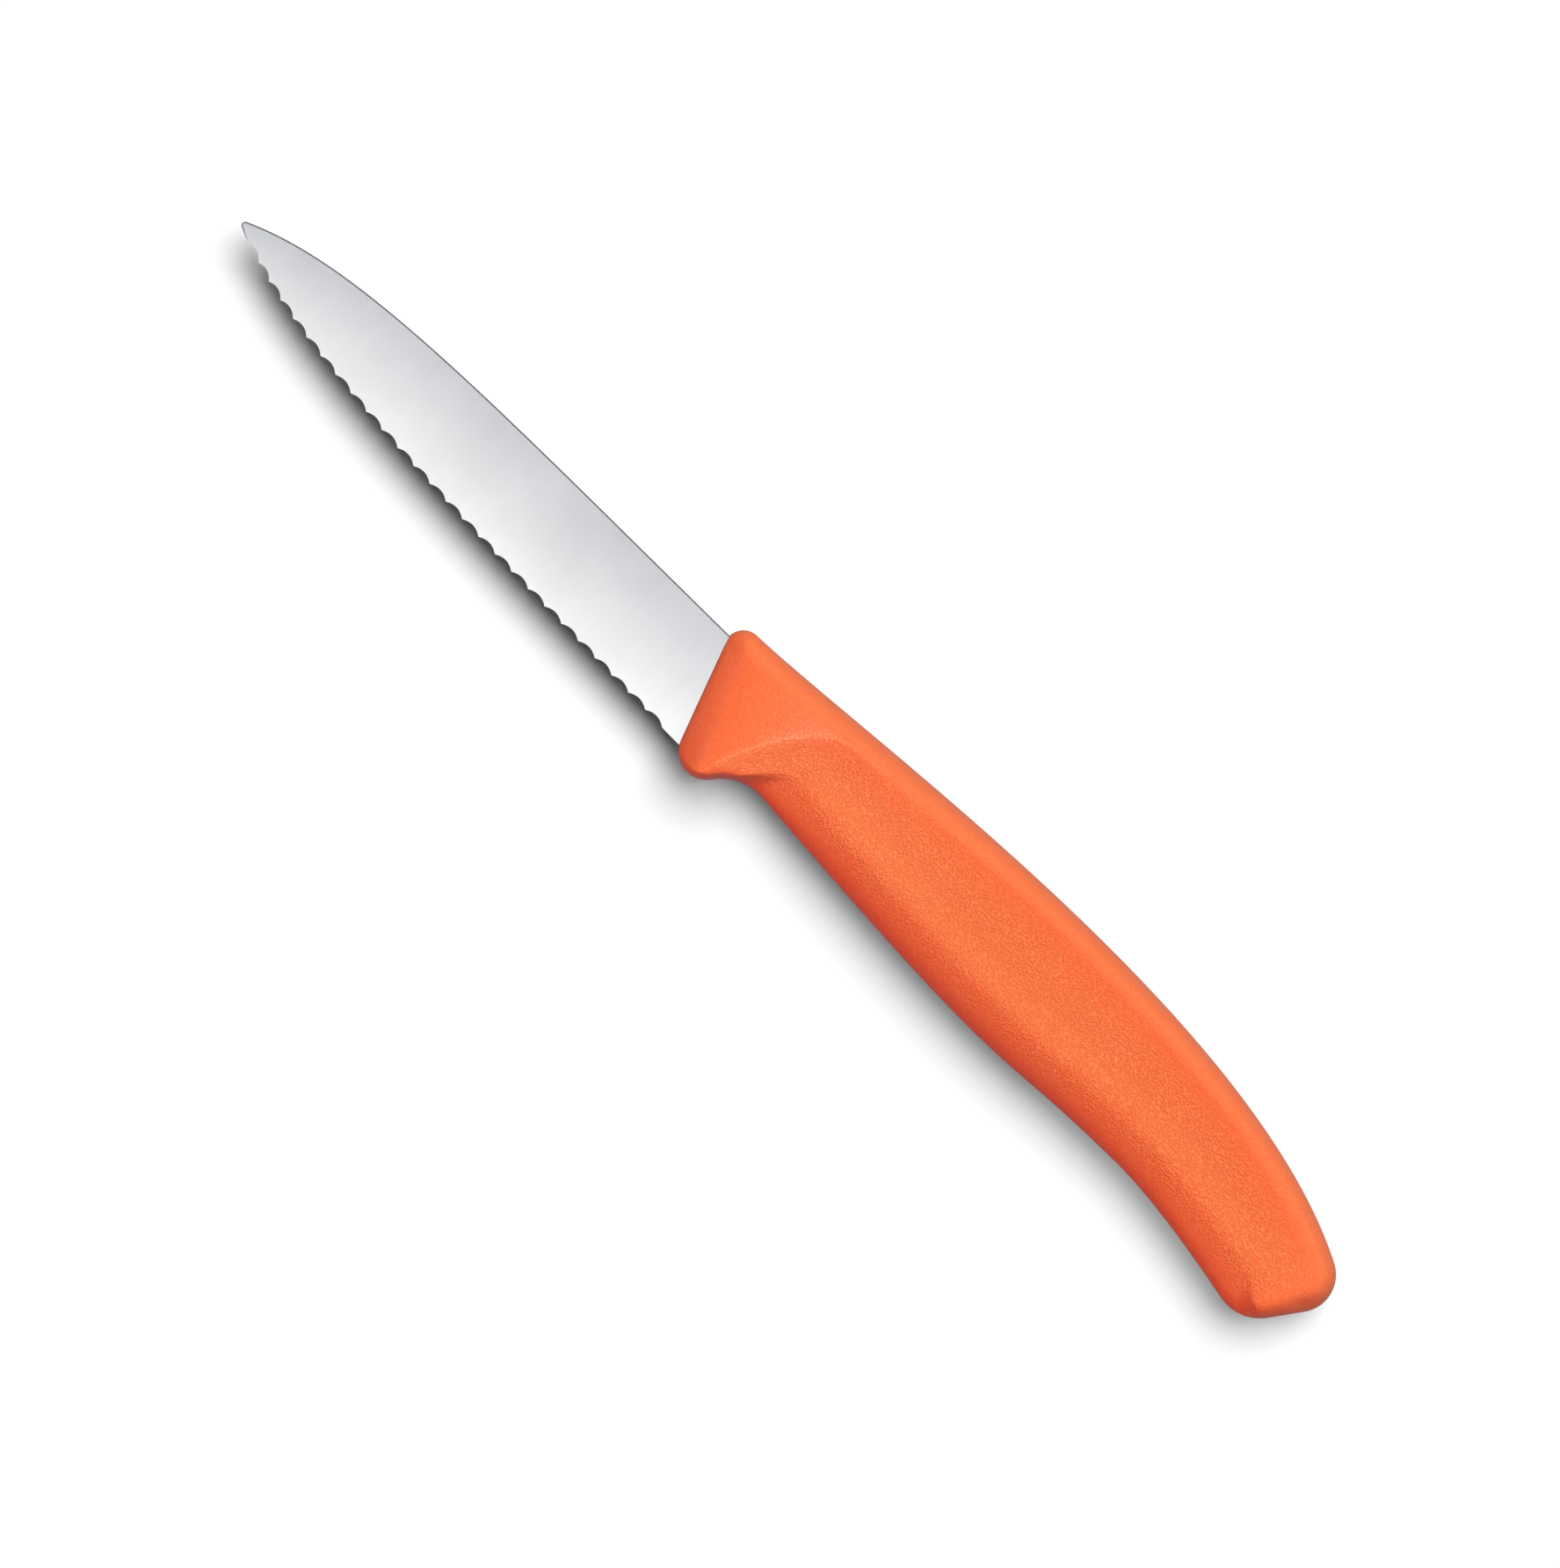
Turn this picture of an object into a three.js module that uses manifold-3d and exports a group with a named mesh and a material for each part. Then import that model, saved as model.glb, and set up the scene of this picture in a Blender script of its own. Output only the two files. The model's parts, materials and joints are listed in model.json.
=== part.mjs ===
// A paring knife with a finely scalloped edge: a steel blade, and a plastic handle moulded round its tang.
// Sizes are in millimetres and angles in degrees. Outlines are drawn in the knife's own plane, from the
// point where the blade's spine enters the handle: x runs to the butt, and y from the edge to the spine.
// The knife lies on its side, so z rises out of the blade's plain face.

import * as THREE from "three";
import { ConvexGeometry } from "three/addons/geometries/ConvexGeometry.js";
import { mergeVertices } from "three/addons/utils/BufferGeometryUtils.js";
import Module from "manifold-3d";

// Blade. A pull says how far a curve follows its end's direction, as a share of the span between its ends.
const BLADE_LENGTH = 80; // from the tip to the middle of the handle's front
const BLADE_HEIGHT = 13.8; // from spine to edge, at the handle
const SHEET_THICKNESS = 1.2; // of the steel that blade and tang are stamped from
const HEEL_THICKNESS = 0.36; // left at the edge by the side grinds, beside the handle
const TIP_THICKNESS = 0.4; // left at the tip by the side grinds
const TIP_DROP = 5.8; // from the line of the spine down to the tip
const TIP_RADIUS = 0.48;
const TIP_SPINE_ANGLE = 24; // between the knife's length and the spine's end
const TIP_EDGE_ANGLE = 24.4; // between the knife's length and the edge's end
const SPINE_STRAIGHT = 21.6; // straight stretch of spine in front of the handle
const SPINE_PULL = { handle: 0.525, tip: 0.21 };
const HEEL_ANGLE = 0.7; // rise of the edge beside the handle
const EDGE_PULL = { handle: 0.7, tip: 0.126 };

// Scallops, ground into the edge from the blade's back
const SCALLOP_PITCH = 2.93;
const TIP_PITCH = 2.5; // to which the pitch narrows at the tip
const NARROWING_RUN = 22; // length of edge behind the tip over which it narrows
const SCALLOP_DEPTH = 0.55;
const SCALLOP_BEVEL = 15; // between a scallop's flute and the blade
const PLAIN_HEEL = 2.95; // edge left plain beside the handle
const PLAIN_TIP = 2; // edge left plain behind the tip, at least

// Tang
const GRIND_OVERRUN = 1.5; // how far the side grinds run into the handle
const SHOULDER_DEPTH = 3.2; // how far the blade's full height runs into the handle
const TANG_LENGTH = 62; // from the shoulder to the tang's round end
const TANG_HEIGHT = 8;
const TANG_DROP = 5; // from the line of the spine down to the tang's middle
const HOLE_COUNT = 3;
const HOLE_RADIUS = 2.1;
const HOLE_SPACING = 17;
const HOLE_SETBACK = 11; // from the tang's end to its last hole

// Handle outline. A corner's place is given before it is rounded.
const FRONT_LEAN = 20.1; // of the handle's front, from upright
const NOSE_RISE = 2.28; // from the line of the spine up to the front's upper corner
const NOSE_RADIUS = 2.4;
const BACK_START_ANGLE = 1.4;
const BACK_END_ANGLE = -27.5;
const BACK_PULL = { nose: 0.182, butt: 0.298 };
const HANDLE_LENGTH = 111.1; // to the butt's upper corner
const BUTT_DROP = 5.2; // from the line of the spine down to that corner
const BUTT_UPPER_RADIUS = 4.6;
const BUTT_HEIGHT = 11; // between the butt's two corners
const BUTT_LEAN = 36.1; // of the butt, from upright
const BUTT_LOWER_RADIUS = 5.8;
const BELLY_START_ANGLE = -4.8;
const BELLY_END_ANGLE = -11.6;
const BELLY_PULL = { scoop: 0.79, waist: 0.367 };
const WAIST_SETBACK = 32; // from the butt's upper corner forward to the waist of the belly
const WAIST_DROP = 12.7; // from the line of the spine down to the waist
const TAIL_PULL = { waist: 0.284, butt: 0.284 };
const SCOOP_SETBACK = 13.1; // from the front to the corner of the finger scoop
const SCOOP_DROP = 10.96; // from the line of the spine down to that corner
const SCOOP_RADIUS = 6.5;
const GUARD_DROP = 5.6; // from the blade's heel down to the corner of the guard
const GUARD_RADIUS = 3.5;
const GUARD_SHARE = 0.64; // of the ramp from guard to scoop, that the guard's rounding may take

// Handle form
const HANDLE_THICKNESS = 13.2; // before its ridges are rounded
const NOSE_THICKNESS = 7.4; // at the front, from where it grows up to the ridge
const BUTT_THICKNESS = 10.4;
const BUTT_TAPER = 42; // length over which the handle thins towards the butt
const BACK_ROLL = 3.2; // width of the rounding along the back
const BELLY_ROLL = 4.4; // width of the rounded slope along the belly
const GUARD_ROLL = 0.6; // width of that slope at the guard
const GUARD_HOLD = 3; // how far past the ridge the slope begins to widen
const GUARD_RELEASE = 6.5; // how far past the ridge it has its full width
const NOSE_ROLL = 3.2; // width of the rounded slope round the blade
const ROLL_SOFTNESS = 0.35; // of these slopes' upper edges, as a share of their width
const BUTT_ROLL = 2.6; // width of the rounding along the butt
const LEAST_EDGE = 1e-6; // squared share of its height that an edge keeps at its rim
const DISH_DEPTH = 0.95; // of the shallow dish in each side
const THUMB_DEPTH = 0.8; // how much deeper the dish is behind the guard
const THUMB_START = 12; // where the dish begins to be shallower
const THUMB_END = 34; // where it has its even depth
const DISH_WIDTH = 5; // from the ridge to the dish's full depth
const RIDGE_BAND = 2.2; // between the back and the ridge that bounds the dish
const RIDGE_SOFTNESS = 1.7; // width over which the ridge is rounded
const RIDGE_START = 9.4; // where the ridge leaves the guard
const RIDGE_END = 23.2; // where the ridge has come up beside the back
const RIDGE_FALL = 13.4; // how far the ridge drops from there to the guard
const RIDGE_BEND = 2.5; // power of that drop
const LOWER_RIDGE = 3.8; // between the belly and the dish's lower side
const LOWER_FADE = 5; // width over which the dish deepens above its lower side
const LOWER_START = 14; // where the dish begins to have a lower side
const LOWER_END = 32; // where that side stands full
const BUTT_FADE = 15; // length over which the dish dies out towards the butt

const MOULD_GAP = 0.3; // between steel and plastic, all round
const CUTTER_MARGIN = 5; // how far a cutting solid stands clear of what it cuts
const WHEEL_OVERLAP = 0.2; // how far one scallop's wheel reaches past the next cusp

// Fineness of the faceted curves
const OUTLINE_STEPS = 36;
const WHEEL_STEPS = 4;
const HANDLE_ROWS = 52;
const HANDLE_COLUMNS = 20;
const ROW_CROWDING = 0.88; // how much closer the rows stand at the nose and the butt
const RIM_SAMPLES = 240;

const STEEL = new THREE.MeshStandardMaterial({ color: 0xd8dadd, metalness: 1, roughness: 0.32 });
const PLASTIC = new THREE.MeshStandardMaterial({ color: 0xf46a2c, metalness: 0, roughness: 0.55 });

const wasm = await Module();
wasm.setup();

const radians = THREE.MathUtils.degToRad;
const clamp = THREE.MathUtils.clamp;
const lerp = THREE.MathUtils.lerp;
const stepUp = THREE.MathUtils.smoothstep;
const point = (x, y) => new THREE.Vector2(x, y);
const heading = (angle) => point(Math.cos(radians(angle)), Math.sin(radians(angle)));
const towards = (from, to) => to.clone().sub(from).normalize();
const shift = (start, direction, distance) => start.clone().addScaledVector(direction, distance);

// Meshes to solids, for cutting, and back

function solidOf(geometry) {
  const bare = geometry.clone();
  bare.deleteAttribute("normal");
  bare.deleteAttribute("uv");
  const merged = mergeVertices(bare);
  const vertProperties = new Float32Array(merged.attributes.position.array);
  const triVerts = new Uint32Array(merged.index.array);
  return new wasm.Manifold(new wasm.Mesh({ numProp: 3, vertProperties, triVerts }));
}

function meshOf(solid, name, material) {
  const { vertProperties, triVerts } = solid.getMesh();
  const geometry = new THREE.BufferGeometry();
  geometry.setAttribute("position", new THREE.BufferAttribute(vertProperties, 3));
  geometry.setIndex(new THREE.BufferAttribute(triVerts, 1));
  geometry.computeVertexNormals();
  const mesh = new THREE.Mesh(geometry, material);
  mesh.name = name;
  return mesh;
}

// A plate with its middle on the knife's own plane
function plate(shape, thickness) {
  const options = { depth: thickness, bevelEnabled: false, curveSegments: OUTLINE_STEPS };
  return solidOf(new THREE.ExtrudeGeometry(shape, options).translate(0, 0, -thickness / 2));
}

// Corners, and curves between them

// The arc that rounds a corner whose sides leave it along two unit vectors, and take at most `room` of each
function roundCorner(corner, sideIn, sideOut, radius, room = Infinity) {
  const half = sideIn.angleTo(sideOut) / 2;
  const reach = Math.min(radius / Math.tan(half), room);
  const middle = sideIn.clone().add(sideOut).normalize();
  return {
    start: shift(corner, sideIn, reach),
    end: shift(corner, sideOut, reach),
    centre: shift(corner, middle, reach / Math.cos(half)),
    radius: reach * Math.tan(half),
    clockwise: sideIn.cross(sideOut) > 0,
  };
}

function drawCorner(path, { start, end, centre, radius, clockwise }) {
  const startAngle = start.clone().sub(centre).angle();
  const endAngle = end.clone().sub(centre).angle();
  path.absarc(centre.x, centre.y, radius, startAngle, endAngle, clockwise);
}

// A curve that leaves each of its ends along a unit vector
function sweep(start, startSide, startPull, end, endSide, endPull) {
  const span = start.distanceTo(end);
  const startHandle = shift(start, startSide, startPull * span);
  const endHandle = shift(end, endSide, endPull * span);
  return new THREE.CubicBezierCurve(start, startHandle, endHandle, end);
}

function drawSweep(path, { v1, v2, v3 }) {
  path.bezierCurveTo(v1.x, v1.y, v2.x, v2.y, v3.x, v3.y);
}

// Places that blade and handle share

const frontX = (y) => -y * Math.tan(radians(FRONT_LEAN));
const heel = point(frontX(-BLADE_HEIGHT), -BLADE_HEIGHT);
const tipEnd = point(frontX(-BLADE_HEIGHT / 2) - BLADE_LENGTH, -TIP_DROP);
const shoulderX = (y) => frontX(y) + SHOULDER_DEPTH;
const tangCentre = point(shoulderX(-TANG_DROP) + TANG_LENGTH - TANG_HEIGHT / 2, -TANG_DROP);
const groundFace = new THREE.Plane().setFromCoplanarPoints(
  new THREE.Vector3(0, 0, SHEET_THICKNESS / 2),
  new THREE.Vector3(tipEnd.x, tipEnd.y, TIP_THICKNESS / 2),
  new THREE.Vector3(heel.x, heel.y, HEEL_THICKNESS / 2),
);

function groundHeight(x, y) {
  const { normal, constant } = groundFace;
  return -(normal.x * x + normal.y * y + constant) / normal.z;
}

// Blade

function bladeCurves() {
  const spineSide = heading(TIP_SPINE_ANGLE);
  const edgeSide = heading(-TIP_EDGE_ANGLE);
  const setback = TIP_RADIUS / Math.sin(spineSide.angleTo(edgeSide) / 2) - TIP_RADIUS;
  const tip = roundCorner(shift(tipEnd, heading(180), setback), spineSide, edgeSide, TIP_RADIUS);
  const bend = point(-SPINE_STRAIGHT, 0);
  const rise = heading(180 - HEEL_ANGLE);
  const spine = sweep(bend, heading(180), SPINE_PULL.handle, tip.start, spineSide, SPINE_PULL.tip);
  const edge = sweep(tip.end, edgeSide, EDGE_PULL.tip, heel, rise, EDGE_PULL.handle);
  return { spine, tip, edge };
}

// The steel's hidden end, from the edge round the tang to the spine, drawn `grow` outside its own line
function drawRoot(path, grow) {
  const low = -TANG_DROP - TANG_HEIGHT / 2 - grow;
  const high = -TANG_DROP + TANG_HEIGHT / 2 + grow;
  path.lineTo(shoulderX(heel.y) + grow, heel.y - grow);
  path.lineTo(shoulderX(low) + grow, low);
  path.absarc(tangCentre.x, tangCentre.y, TANG_HEIGHT / 2 + grow, -Math.PI / 2, Math.PI / 2);
  path.lineTo(shoulderX(high) + grow, high);
  path.lineTo(shoulderX(0) + grow, grow);
}

function tangHoles(grow) {
  return Array.from({ length: HOLE_COUNT }, (_, index) => {
    const x = tangCentre.x + TANG_HEIGHT / 2 - HOLE_SETBACK - index * HOLE_SPACING;
    return new THREE.Path().absarc(x, tangCentre.y, HOLE_RADIUS - grow, 0, 2 * Math.PI);
  });
}

// What a side grind takes off one face, in front of a line just inside the handle
function sideGrind(side, grow) {
  const ahead = tipEnd.x - CUTTER_MARGIN;
  const below = heel.y - CUTTER_MARGIN;
  const behind = (y) => frontX(y) + GRIND_OVERRUN - grow;
  const plan = [
    point(ahead, below),
    point(ahead, CUTTER_MARGIN),
    point(behind(below), below),
    point(behind(CUTTER_MARGIN), CUTTER_MARGIN),
  ];
  const corners = plan.flatMap(({ x, y }) => [
    new THREE.Vector3(x, y, side * (groundHeight(x, y) + grow)),
    new THREE.Vector3(x, y, side * (SHEET_THICKNESS + CUTTER_MARGIN)),
  ]);
  return solidOf(new ConvexGeometry(corners));
}

function groundPlate(shape, grow) {
  shape.holes.push(...tangHoles(grow));
  return plate(shape, SHEET_THICKNESS + 2 * grow)
    .subtract(sideGrind(1, grow))
    .subtract(sideGrind(-1, grow));
}

// Where each scallop starts and ends along the edge, counted from the heel
function scallopSpans(length) {
  const widthAt = (place) => lerp(TIP_PITCH, SCALLOP_PITCH, clamp((length - place) / NARROWING_RUN, 0, 1));
  const spans = [];
  let start = PLAIN_HEEL;
  let end = start + widthAt(start);
  while (end <= length - PLAIN_TIP) {
    spans.push({ middle: (start + end) / 2, width: end - start });
    start = end;
    end = start + widthAt(start);
  }
  return spans;
}

// A slice of the rim of the wheel that grinds a scallop of the given width: it cuts at y = 0, and runs
// along z across the blade to its back
function wheelRim(scallopWidth) {
  const lean = Math.sin(radians(SCALLOP_BEVEL));
  const half = scallopWidth / 2;
  const sag = SCALLOP_DEPTH * lean;
  const radius = (half ** 2 + sag ** 2) / (2 * sag);
  const width = half + WHEEL_OVERLAP;
  const spread = Math.asin(width / radius);
  const height = SHEET_THICKNESS + SCALLOP_DEPTH;
  const rim = new THREE.Shape();
  rim.absarc(0, radius, radius, -Math.PI / 2 - spread, -Math.PI / 2 + spread);
  rim.lineTo(width, height);
  rim.lineTo(-width, height);
  const lead = 2 * SCALLOP_DEPTH;
  const depth = lead + SHEET_THICKNESS / lean;
  const options = { depth, bevelEnabled: false, curveSegments: WHEEL_STEPS };
  return new THREE.ExtrudeGeometry(rim, options).translate(0, 0, -lead);
}

// The wheel's place at one scallop, given the edge there and its direction to the heel
function wheelPlace(onEdge, direction) {
  const lean = radians(SCALLOP_BEVEL);
  const inward = point(-direction.y, direction.x);
  const cut = shift(onEdge, inward, SCALLOP_DEPTH);
  const along = new THREE.Vector3(direction.x, direction.y, 0);
  const across = new THREE.Vector3(inward.x, inward.y, 0).multiplyScalar(Math.cos(lean));
  across.z = -Math.sin(lean);
  const away = across.clone().cross(along);
  return new THREE.Matrix4()
    .makeBasis(along, away, across)
    .setPosition(cut.x, cut.y, groundHeight(cut.x, cut.y));
}

function makeBlade() {
  const { spine, tip, edge } = bladeCurves();
  const shape = new THREE.Shape();
  shape.moveTo(spine.v0.x, spine.v0.y);
  drawSweep(shape, spine);
  drawCorner(shape, tip);
  drawSweep(shape, edge);
  drawRoot(shape, 0);
  let blade = groundPlate(shape, 0);
  const length = edge.getLength();
  for (const { middle, width } of scallopSpans(length)) {
    const share = 1 - middle / length;
    const place = wheelPlace(edge.getPointAt(share), edge.getTangentAt(share));
    blade = blade.subtract(solidOf(wheelRim(width).applyMatrix4(place)));
  }
  return meshOf(blade, "blade", STEEL);
}

// Handle

const buttX = (y) => HANDLE_LENGTH + (y + BUTT_DROP) * Math.tan(radians(BUTT_LEAN));

// The handle's outline as two lines from the front to the butt: its back, and its belly with the guard
function handleRims() {
  const guardY = heel.y - GUARD_DROP;
  const buttLowY = -BUTT_DROP - BUTT_HEIGHT;
  const nose = point(frontX(NOSE_RISE), NOSE_RISE);
  const guard = point(frontX(guardY), guardY);
  const scoop = point(SCOOP_SETBACK, -SCOOP_DROP);
  const waist = point(HANDLE_LENGTH - WAIST_SETBACK, -WAIST_DROP);
  const buttLow = point(buttX(buttLowY), buttLowY);
  const buttHigh = point(HANDLE_LENGTH, -BUTT_DROP);
  const backStart = heading(BACK_START_ANGLE);
  const backEnd = heading(BACK_END_ANGLE + 180);
  const bellyStart = heading(BELLY_START_ANGLE);
  const bellyEnd = heading(BELLY_END_ANGLE + 180);
  const ramp = guard.distanceTo(scoop);
  const upFront = towards(guard, nose);
  const upRamp = towards(guard, scoop);
  const downRamp = towards(scoop, guard);
  const upButt = towards(buttLow, buttHigh);

  const noseArc = roundCorner(nose, towards(nose, guard), backStart, NOSE_RADIUS);
  const guardArc = roundCorner(guard, upFront, upRamp, GUARD_RADIUS, ramp * GUARD_SHARE);
  const scoopArc = roundCorner(scoop, downRamp, bellyStart, SCOOP_RADIUS, ramp * (1 - GUARD_SHARE));
  const lowArc = roundCorner(buttLow, bellyEnd, upButt, BUTT_LOWER_RADIUS);
  const highArc = roundCorner(buttHigh, backEnd, towards(buttHigh, buttLow), BUTT_UPPER_RADIUS);

  const back = new THREE.Path();
  drawCorner(back, noseArc);
  drawSweep(back, sweep(noseArc.end, backStart, BACK_PULL.nose, highArc.start, backEnd, BACK_PULL.butt));
  drawCorner(back, highArc);

  const belly = new THREE.Path();
  drawCorner(belly, guardArc);
  drawCorner(belly, scoopArc);
  const forward = heading(180);
  drawSweep(belly, sweep(scoopArc.end, bellyStart, BELLY_PULL.scoop, waist, forward, BELLY_PULL.waist));
  drawSweep(belly, sweep(waist, heading(0), TAIL_PULL.waist, lowArc.start, bellyEnd, TAIL_PULL.butt));
  drawCorner(belly, lowArc);
  return { back, belly };
}

function distanceTo(rim, place) {
  let nearest = Infinity;
  for (let index = 1; index < rim.length; index += 1) {
    const start = rim[index - 1];
    const run = rim[index].clone().sub(start);
    const share = clamp(place.clone().sub(start).dot(run) / run.lengthSq(), 0, 1);
    nearest = Math.min(nearest, shift(start, run, share).distanceTo(place));
  }
  return nearest;
}

// Squared height of a quarter-round edge at a distance from its rim, as a share of its full height
function roll(distance, width) {
  const share = clamp(distance / width, 0, 1);
  return share * (2 - share);
}

// The same for a slope that steepens towards its rim and leaves its flank in a soft edge
function keel(distance, width) {
  const share = distance / width;
  const most = Math.hypot(1, ROLL_SOFTNESS);
  return (share + most - Math.hypot(share - 1, ROLL_SOFTNESS)) / (1 + most);
}

// Height where several edges meet, from the squared height of each
function together(...edges) {
  const lacks = edges.map((edge) => 1 / Math.max(edge, LEAST_EDGE) - 1);
  return 1 / Math.sqrt(lacks.reduce((sum, lack) => sum + lack, 1));
}

// Distance into the dish from the ridge that bounds it along the back and down to the guard
function insideRidge(x, toBack) {
  const span = RIDGE_END - RIDGE_START;
  const fall = Math.max(RIDGE_END - x, 0) / span;
  const band = RIDGE_BAND + RIDGE_FALL * fall ** RIDGE_BEND;
  const slope = (RIDGE_FALL * RIDGE_BEND * fall ** (RIDGE_BEND - 1)) / span;
  return (toBack - band) / Math.hypot(1, slope);
}

function dishDepth(x, inside, toBelly, toButt) {
  const ramp = (inside + Math.hypot(inside, RIDGE_SOFTNESS)) / 2;
  const deepest = DISH_DEPTH + THUMB_DEPTH * (1 - stepUp(x, THUMB_START, THUMB_END));
  const depth = deepest * (1 - (1 - Math.min(ramp / DISH_WIDTH, 1)) ** 2);
  const lowerSide = 1 - stepUp(toBelly, LOWER_RIDGE, LOWER_RIDGE + LOWER_FADE);
  return depth * (1 - lowerSide * stepUp(x, LOWER_START, LOWER_END)) * stepUp(toButt, 0, BUTT_FADE);
}

function halfThickness(place, backRim, bellyRim) {
  const toBack = distanceTo(backRim, place);
  const toBelly = distanceTo(bellyRim, place);
  const toFront = (place.x - frontX(place.y)) * Math.cos(radians(FRONT_LEAN));
  const toButt = (buttX(place.y) - place.x) * Math.cos(radians(BUTT_LEAN));
  const inside = insideRidge(place.x, toBack);
  const outside = Math.max(-inside, 0);
  const toRidge = outside > 0 ? outside / (Math.max(toFront, 0) + outside) : 0;
  const noseLack = (HANDLE_THICKNESS - NOSE_THICKNESS) * toRidge;
  const buttLack = (HANDLE_THICKNESS - BUTT_THICKNESS) * (1 - stepUp(toButt, 0, BUTT_TAPER));
  const dish = dishDepth(place.x, inside, toBelly, toButt);
  const flank = (HANDLE_THICKNESS - noseLack - buttLack) / 2 - dish;
  const bellyRoll = lerp(GUARD_ROLL, BELLY_ROLL, stepUp(inside, GUARD_HOLD, GUARD_RELEASE));
  const sides = [roll(toBack, BACK_ROLL), keel(toBelly, bellyRoll)];
  const ends = [keel(toFront, NOSE_ROLL), roll(toButt, BUTT_ROLL)];
  return flank * together(...sides, ...ends);
}

// The solid moulding: two mirrored skins over one grid, which meet at the outline
function handleBody() {
  const { back, belly } = handleRims();
  const backRim = back.getSpacedPoints(RIM_SAMPLES);
  const bellyRim = belly.getSpacedPoints(RIM_SAMPLES);
  const positions = [];
  const triangles = [];
  const upper = [];
  const lower = [];
  const addVertex = (x, y, z) => {
    positions.push(x, y, z);
    return positions.length / 3 - 1;
  };
  for (let row = 0; row <= HANDLE_ROWS; row += 1) {
    const turn = (2 * Math.PI * row) / HANDLE_ROWS;
    const along = clamp((turn - ROW_CROWDING * Math.sin(turn)) / (2 * Math.PI), 0, 1);
    const start = back.getPointAt(along);
    const end = belly.getPointAt(along);
    upper.push([]);
    lower.push([]);
    for (let column = 0; column <= HANDLE_COLUMNS; column += 1) {
      const down = (1 - Math.cos((Math.PI * column) / HANDLE_COLUMNS)) / 2;
      const place = start.clone().lerp(end, down);
      const onOutline = row % HANDLE_ROWS === 0 || column % HANDLE_COLUMNS === 0;
      const half = onOutline ? 0 : halfThickness(place, backRim, bellyRim);
      upper[row].push(addVertex(place.x, place.y, half));
      lower[row].push(onOutline ? upper[row][column] : addVertex(place.x, place.y, -half));
    }
  }
  for (let row = 0; row < HANDLE_ROWS; row += 1) {
    for (let column = 0; column < HANDLE_COLUMNS; column += 1) {
      const corners = [[row, column], [row, column + 1], [row + 1, column + 1], [row + 1, column]];
      const [a, b, c, d] = corners.map(([i, j]) => upper[i][j]);
      const [e, f, g, h] = corners.map(([i, j]) => lower[i][j]);
      triangles.push(a, b, c, a, c, d, g, f, e, h, g, e);
    }
  }
  const geometry = new THREE.BufferGeometry();
  geometry.setAttribute("position", new THREE.Float32BufferAttribute(positions, 3));
  geometry.setIndex(triangles);
  return solidOf(geometry);
}

// The room for the steel's hidden end, open at the handle's front
function tangCavity() {
  const shape = new THREE.Shape();
  shape.moveTo(-CUTTER_MARGIN, MOULD_GAP);
  shape.lineTo(-CUTTER_MARGIN, heel.y - MOULD_GAP);
  drawRoot(shape, MOULD_GAP);
  return groundPlate(shape, MOULD_GAP);
}

function makeHandle() {
  return meshOf(handleBody().subtract(tangCavity()), "handle", PLASTIC);
}

// The knife rests on its side, with its origin under the middle of its box
const knife = new THREE.Group();
knife.add(makeBlade(), makeHandle());
const box = new THREE.Box3().setFromObject(knife);
const centre = box.getCenter(new THREE.Vector3());
knife.position.set(-centre.x, -centre.y, -box.min.z);

export default knife;
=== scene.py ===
"""A serrated paring knife: its steel blade, its moulded handle, and the studio that shows them.

Sizes are in metres. Outlines are drawn in the knife's own plane, from the point where the blade's spine
enters the handle: x runs to the butt, y from the edge to the spine, and z out of the blade's plain face.
"""

import json
import math

import bpy
import numpy as np
from bpy.props import FloatProperty, FloatVectorProperty, IntProperty, PointerProperty
from mathutils import Matrix, Vector

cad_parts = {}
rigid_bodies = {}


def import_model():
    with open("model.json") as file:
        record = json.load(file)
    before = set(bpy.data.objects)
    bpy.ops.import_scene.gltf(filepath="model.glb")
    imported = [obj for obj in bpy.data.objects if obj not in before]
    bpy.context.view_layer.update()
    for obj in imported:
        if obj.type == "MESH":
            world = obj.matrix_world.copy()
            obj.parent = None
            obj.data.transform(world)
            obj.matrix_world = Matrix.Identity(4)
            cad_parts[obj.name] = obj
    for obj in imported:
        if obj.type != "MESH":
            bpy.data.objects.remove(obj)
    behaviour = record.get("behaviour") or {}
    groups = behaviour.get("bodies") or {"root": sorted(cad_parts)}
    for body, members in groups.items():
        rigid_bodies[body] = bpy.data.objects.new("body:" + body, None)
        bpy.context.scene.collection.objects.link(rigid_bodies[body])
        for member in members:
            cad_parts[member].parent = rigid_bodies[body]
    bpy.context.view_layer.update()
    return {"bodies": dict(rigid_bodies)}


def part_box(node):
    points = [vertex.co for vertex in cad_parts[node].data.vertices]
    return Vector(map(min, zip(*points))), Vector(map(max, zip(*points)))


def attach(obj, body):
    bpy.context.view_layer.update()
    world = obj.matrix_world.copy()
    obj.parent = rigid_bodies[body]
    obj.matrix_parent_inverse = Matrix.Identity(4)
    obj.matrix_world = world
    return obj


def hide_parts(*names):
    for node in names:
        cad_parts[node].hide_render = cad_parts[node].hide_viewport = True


bl_info = {
    "name": "Serrated paring knife",
    "version": (1, 0, 0),
    "blender": (4, 5, 0),
    "location": "View3D > Sidebar > Knife",
    "description": "Makes a paring knife with a scalloped edge and a moulded handle, in a small studio",
    "category": "Object",
}

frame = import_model()
BLADE_LOW, BLADE_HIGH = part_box("blade")
BODY_OF_KNIFE = next(iter(frame["bodies"]))

MM = 0.001
RIGHT_ANGLE = math.pi / 2

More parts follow.
